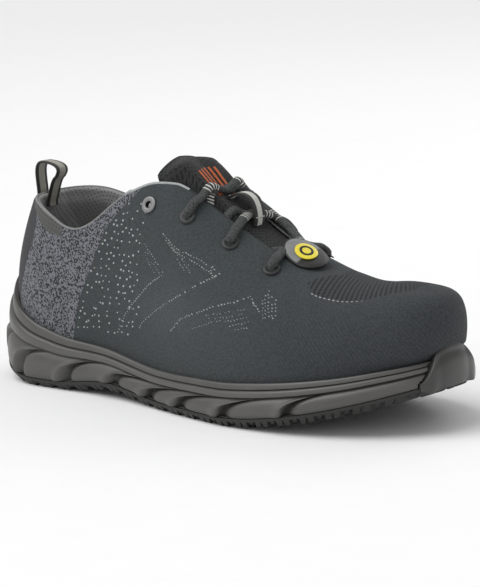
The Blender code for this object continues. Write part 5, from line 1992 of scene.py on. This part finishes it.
class SNEAKER_OT_tag(bpy.types.Operator):
    """Makes the oval tag at the foot of the throat and its plain disc"""

    bl_idname = "sneaker.tag"
    bl_label = "Throat tag"

    def execute(self, context):
        centre, middle = shoe_x(TAG_ALONG), axis_y(TAG_ALONG) - TAG_ASIDE
        sides, rings = 64, 12
        oval, disc = (TAG_LENGTH / 2, TAG_HALF_WIDTH), (DISC_RADIUS, DISC_RADIUS)
        above = 2 * FIT_GAP + TAG_THICKNESS
        mark = (DISC_RADIUS * MARK_SHARE, DISC_RADIUS * MARK_SHARE)
        upon = above + DISC_THICKNESS * 0.9
        for name, slot, nodes, material, size, floor, thick, hollow in (
            ("oval_tag", "tag", ("throat_tag",), "tag", oval, FIT_GAP, TAG_THICKNESS, 0),
            ("plain_disc", "disc", ("tag_disc",), "disc", disc, above, DISC_THICKNESS, 0),
            ("disc_ring", "disc", (), "disc_mark", mark, upon, MARK_THICKNESS, MARK_HOLE),
        ):
            points = []
            for layer in (0, 1):
                for ring in range(rings + 1):
                    share = ring / rings
                    reach = [hollow + (half - hollow) * share for half in size]
                    lift = floor + thick * layer * (1 - 0.4 * max(0.0, share - 0.85) / 0.15)
                    for n in range(sides):
                        angle = 2 * math.pi * n / sides
                        x = centre + reach[0] * math.cos(angle)
                        y = middle + reach[1] * math.sin(angle)
                        raised = TAG_LIFT * ease((shoe_x(TAG_RAMP) - x) / TAG_RAMP_LENGTH)
                        raised += TAG_TILT * (y - middle + TAG_HALF_WIDTH)
                        points.append(from_above(x, y, lift + raised)[0])
            count = sides * (rings + 1)
            faces = grid_faces(rings + 1, sides) + grid_faces(rings + 1, sides, start=count)
            # Walls round the rim and, where the piece is a ring, round its hole.
            for here in (0, rings * sides) if hollow else (rings * sides,):
                for n in range(sides):
                    after = (n + 1) % sides
                    faces.append((here + n, here + after, here + count + after, here + count + n))
            # The tag's rim and its edge wall take the dark mark colour: a painted shadow along the tag's
            # edge.
            kinds = [
                int(name == "oval_tag" and all(corner % count >= (rings - 1) * sides for corner in face))
                for face in faces
            ]
            obj = cleaned(mesh_object(name, points, faces, (material, "disc_mark"), kinds))
            wear_piece(obj, slot, *nodes, angle=50)
        return {"FINISHED"}


class SNEAKER_OT_insole(bpy.types.Operator):
    """Gives the loose insole its cloth"""

    bl_idname = "sneaker.insole"
    bl_label = "Insole"

    def execute(self, context):
        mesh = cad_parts["insole"].data
        mesh.materials.clear()
        mesh.materials.append(finishes()["binding"])
        return {"FINISHED"}


def hung(lamp, aim):
    """Puts a lamp in the scene, turned the way it shines."""
    obj = bpy.data.objects.new(lamp.name, lamp)
    obj.rotation_euler = aim.to_track_quat("-Z", "Y").to_euler()
    bpy.context.scene.collection.objects.link(obj)
    return obj


class SNEAKER_OT_stage(bpy.types.Operator):
    """Lays the pale floor and sets the soft studio light and the camera"""

    bl_idname = "sneaker.stage"
    bl_label = "Stage"

    def execute(self, context):
        bpy.ops.mesh.primitive_plane_add(size=FLOOR_SIZE)
        floor = context.object
        floor.name = "floor"
        floor.data.materials.append(finishes()["floor"])
        world = bpy.data.worlds.new("studio")
        context.scene.world = world
        world.use_nodes = True
        sky = world.node_tree.nodes["Background"].inputs
        sky["Color"].default_value = (1, 1, 1, 1)
        sky["Strength"].default_value = SKY_STRENGTH
        for name, place, size, power in LAMPS:
            lamp = bpy.data.lights.new(name, "AREA")
            lamp.shape, lamp.energy = "RECTANGLE", power
            lamp.size, lamp.size_y = size
            hung(lamp, Vector(CAMERA_TARGET) - Vector(place)).location = place
        lamp = bpy.data.lights.new("sun", "SUN")
        lamp.energy, lamp.angle = SUN_STRENGTH, SUN_SOFTNESS
        hung(lamp, -Vector(SUN_TILT))
        right = Vector((math.cos(CAMERA_AZIMUTH), math.sin(CAMERA_AZIMUTH), 0))
        level = Vector((right.y, -right.x, 0))
        back = level * math.cos(CAMERA_HEIGHT) + Vector((0, 0, math.sin(CAMERA_HEIGHT)))
        up = back.cross(right)
        across = right * math.cos(CAMERA_ROLL) + up * math.sin(CAMERA_ROLL)
        upright = up * math.cos(CAMERA_ROLL) - right * math.sin(CAMERA_ROLL)
        lens = bpy.data.cameras.new("camera")
        lens.sensor_fit = "VERTICAL"
        lens.sensor_height = FILM_HEIGHT
        lens.lens = CAMERA_SCALE * CAMERA_DISTANCE * FILM_HEIGHT / PHOTO_HEIGHT
        lens.clip_end = 60.0
        camera = bpy.data.objects.new("camera", lens)
        turn = Matrix((across, upright, back)).transposed().to_4x4()
        camera.matrix_world = Matrix.Translation(Vector(CAMERA_TARGET) + back * CAMERA_DISTANCE) @ turn
        context.scene.collection.objects.link(camera)
        context.scene.camera = camera
        context.scene.view_settings.view_transform = "Standard"
        return {"FINISHED"}


STEPS = (
    SNEAKER_OT_stage,
    SNEAKER_OT_upper,
    SNEAKER_OT_flecks,
    SNEAKER_OT_edges,
    SNEAKER_OT_sole,
    SNEAKER_OT_tread,
    SNEAKER_OT_guard,
    SNEAKER_OT_insole,
    SNEAKER_OT_tongue,
    SNEAKER_OT_rings,
    SNEAKER_OT_laces,
    SNEAKER_OT_keeper,
    SNEAKER_OT_tag,
    SNEAKER_OT_loop,
)


class SNEAKER_PT_panel(bpy.types.Panel):
    """Lists the colours, the sizes and each step"""

    bl_idname = "SNEAKER_PT_panel"
    bl_label = "Safety sneaker"
    bl_space_type = "VIEW_3D"
    bl_region_type = "UI"
    bl_category = "Sneaker"

    def draw(self, context):
        for settings in (context.scene.sneaker_colours, context.scene.sneaker_sizes):
            box = self.layout.box()
            for key in settings.__annotations__:
                box.prop(settings, key)
        for step in STEPS:
            self.layout.operator(step.bl_idname)


CLASSES = (SneakerColours, SneakerSizes, *STEPS, SNEAKER_PT_panel)


def register():
    """Adds the settings, the steps and the panel."""
    for kind in CLASSES:
        bpy.utils.register_class(kind)
    bpy.types.Scene.sneaker_colours = bpy.props.PointerProperty(type=SneakerColours)
    bpy.types.Scene.sneaker_sizes = bpy.props.PointerProperty(type=SneakerSizes)


def unregister():
    """Takes them away again."""
    del bpy.types.Scene.sneaker_sizes
    del bpy.types.Scene.sneaker_colours
    for kind in reversed(CLASSES):
        bpy.utils.unregister_class(kind)


def main():
    """Dresses the shoe."""
    register()
    for step in STEPS:
        group, name = step.bl_idname.split(".")
        getattr(getattr(bpy.ops, group), name)()


if __name__ == "__main__":
    main()
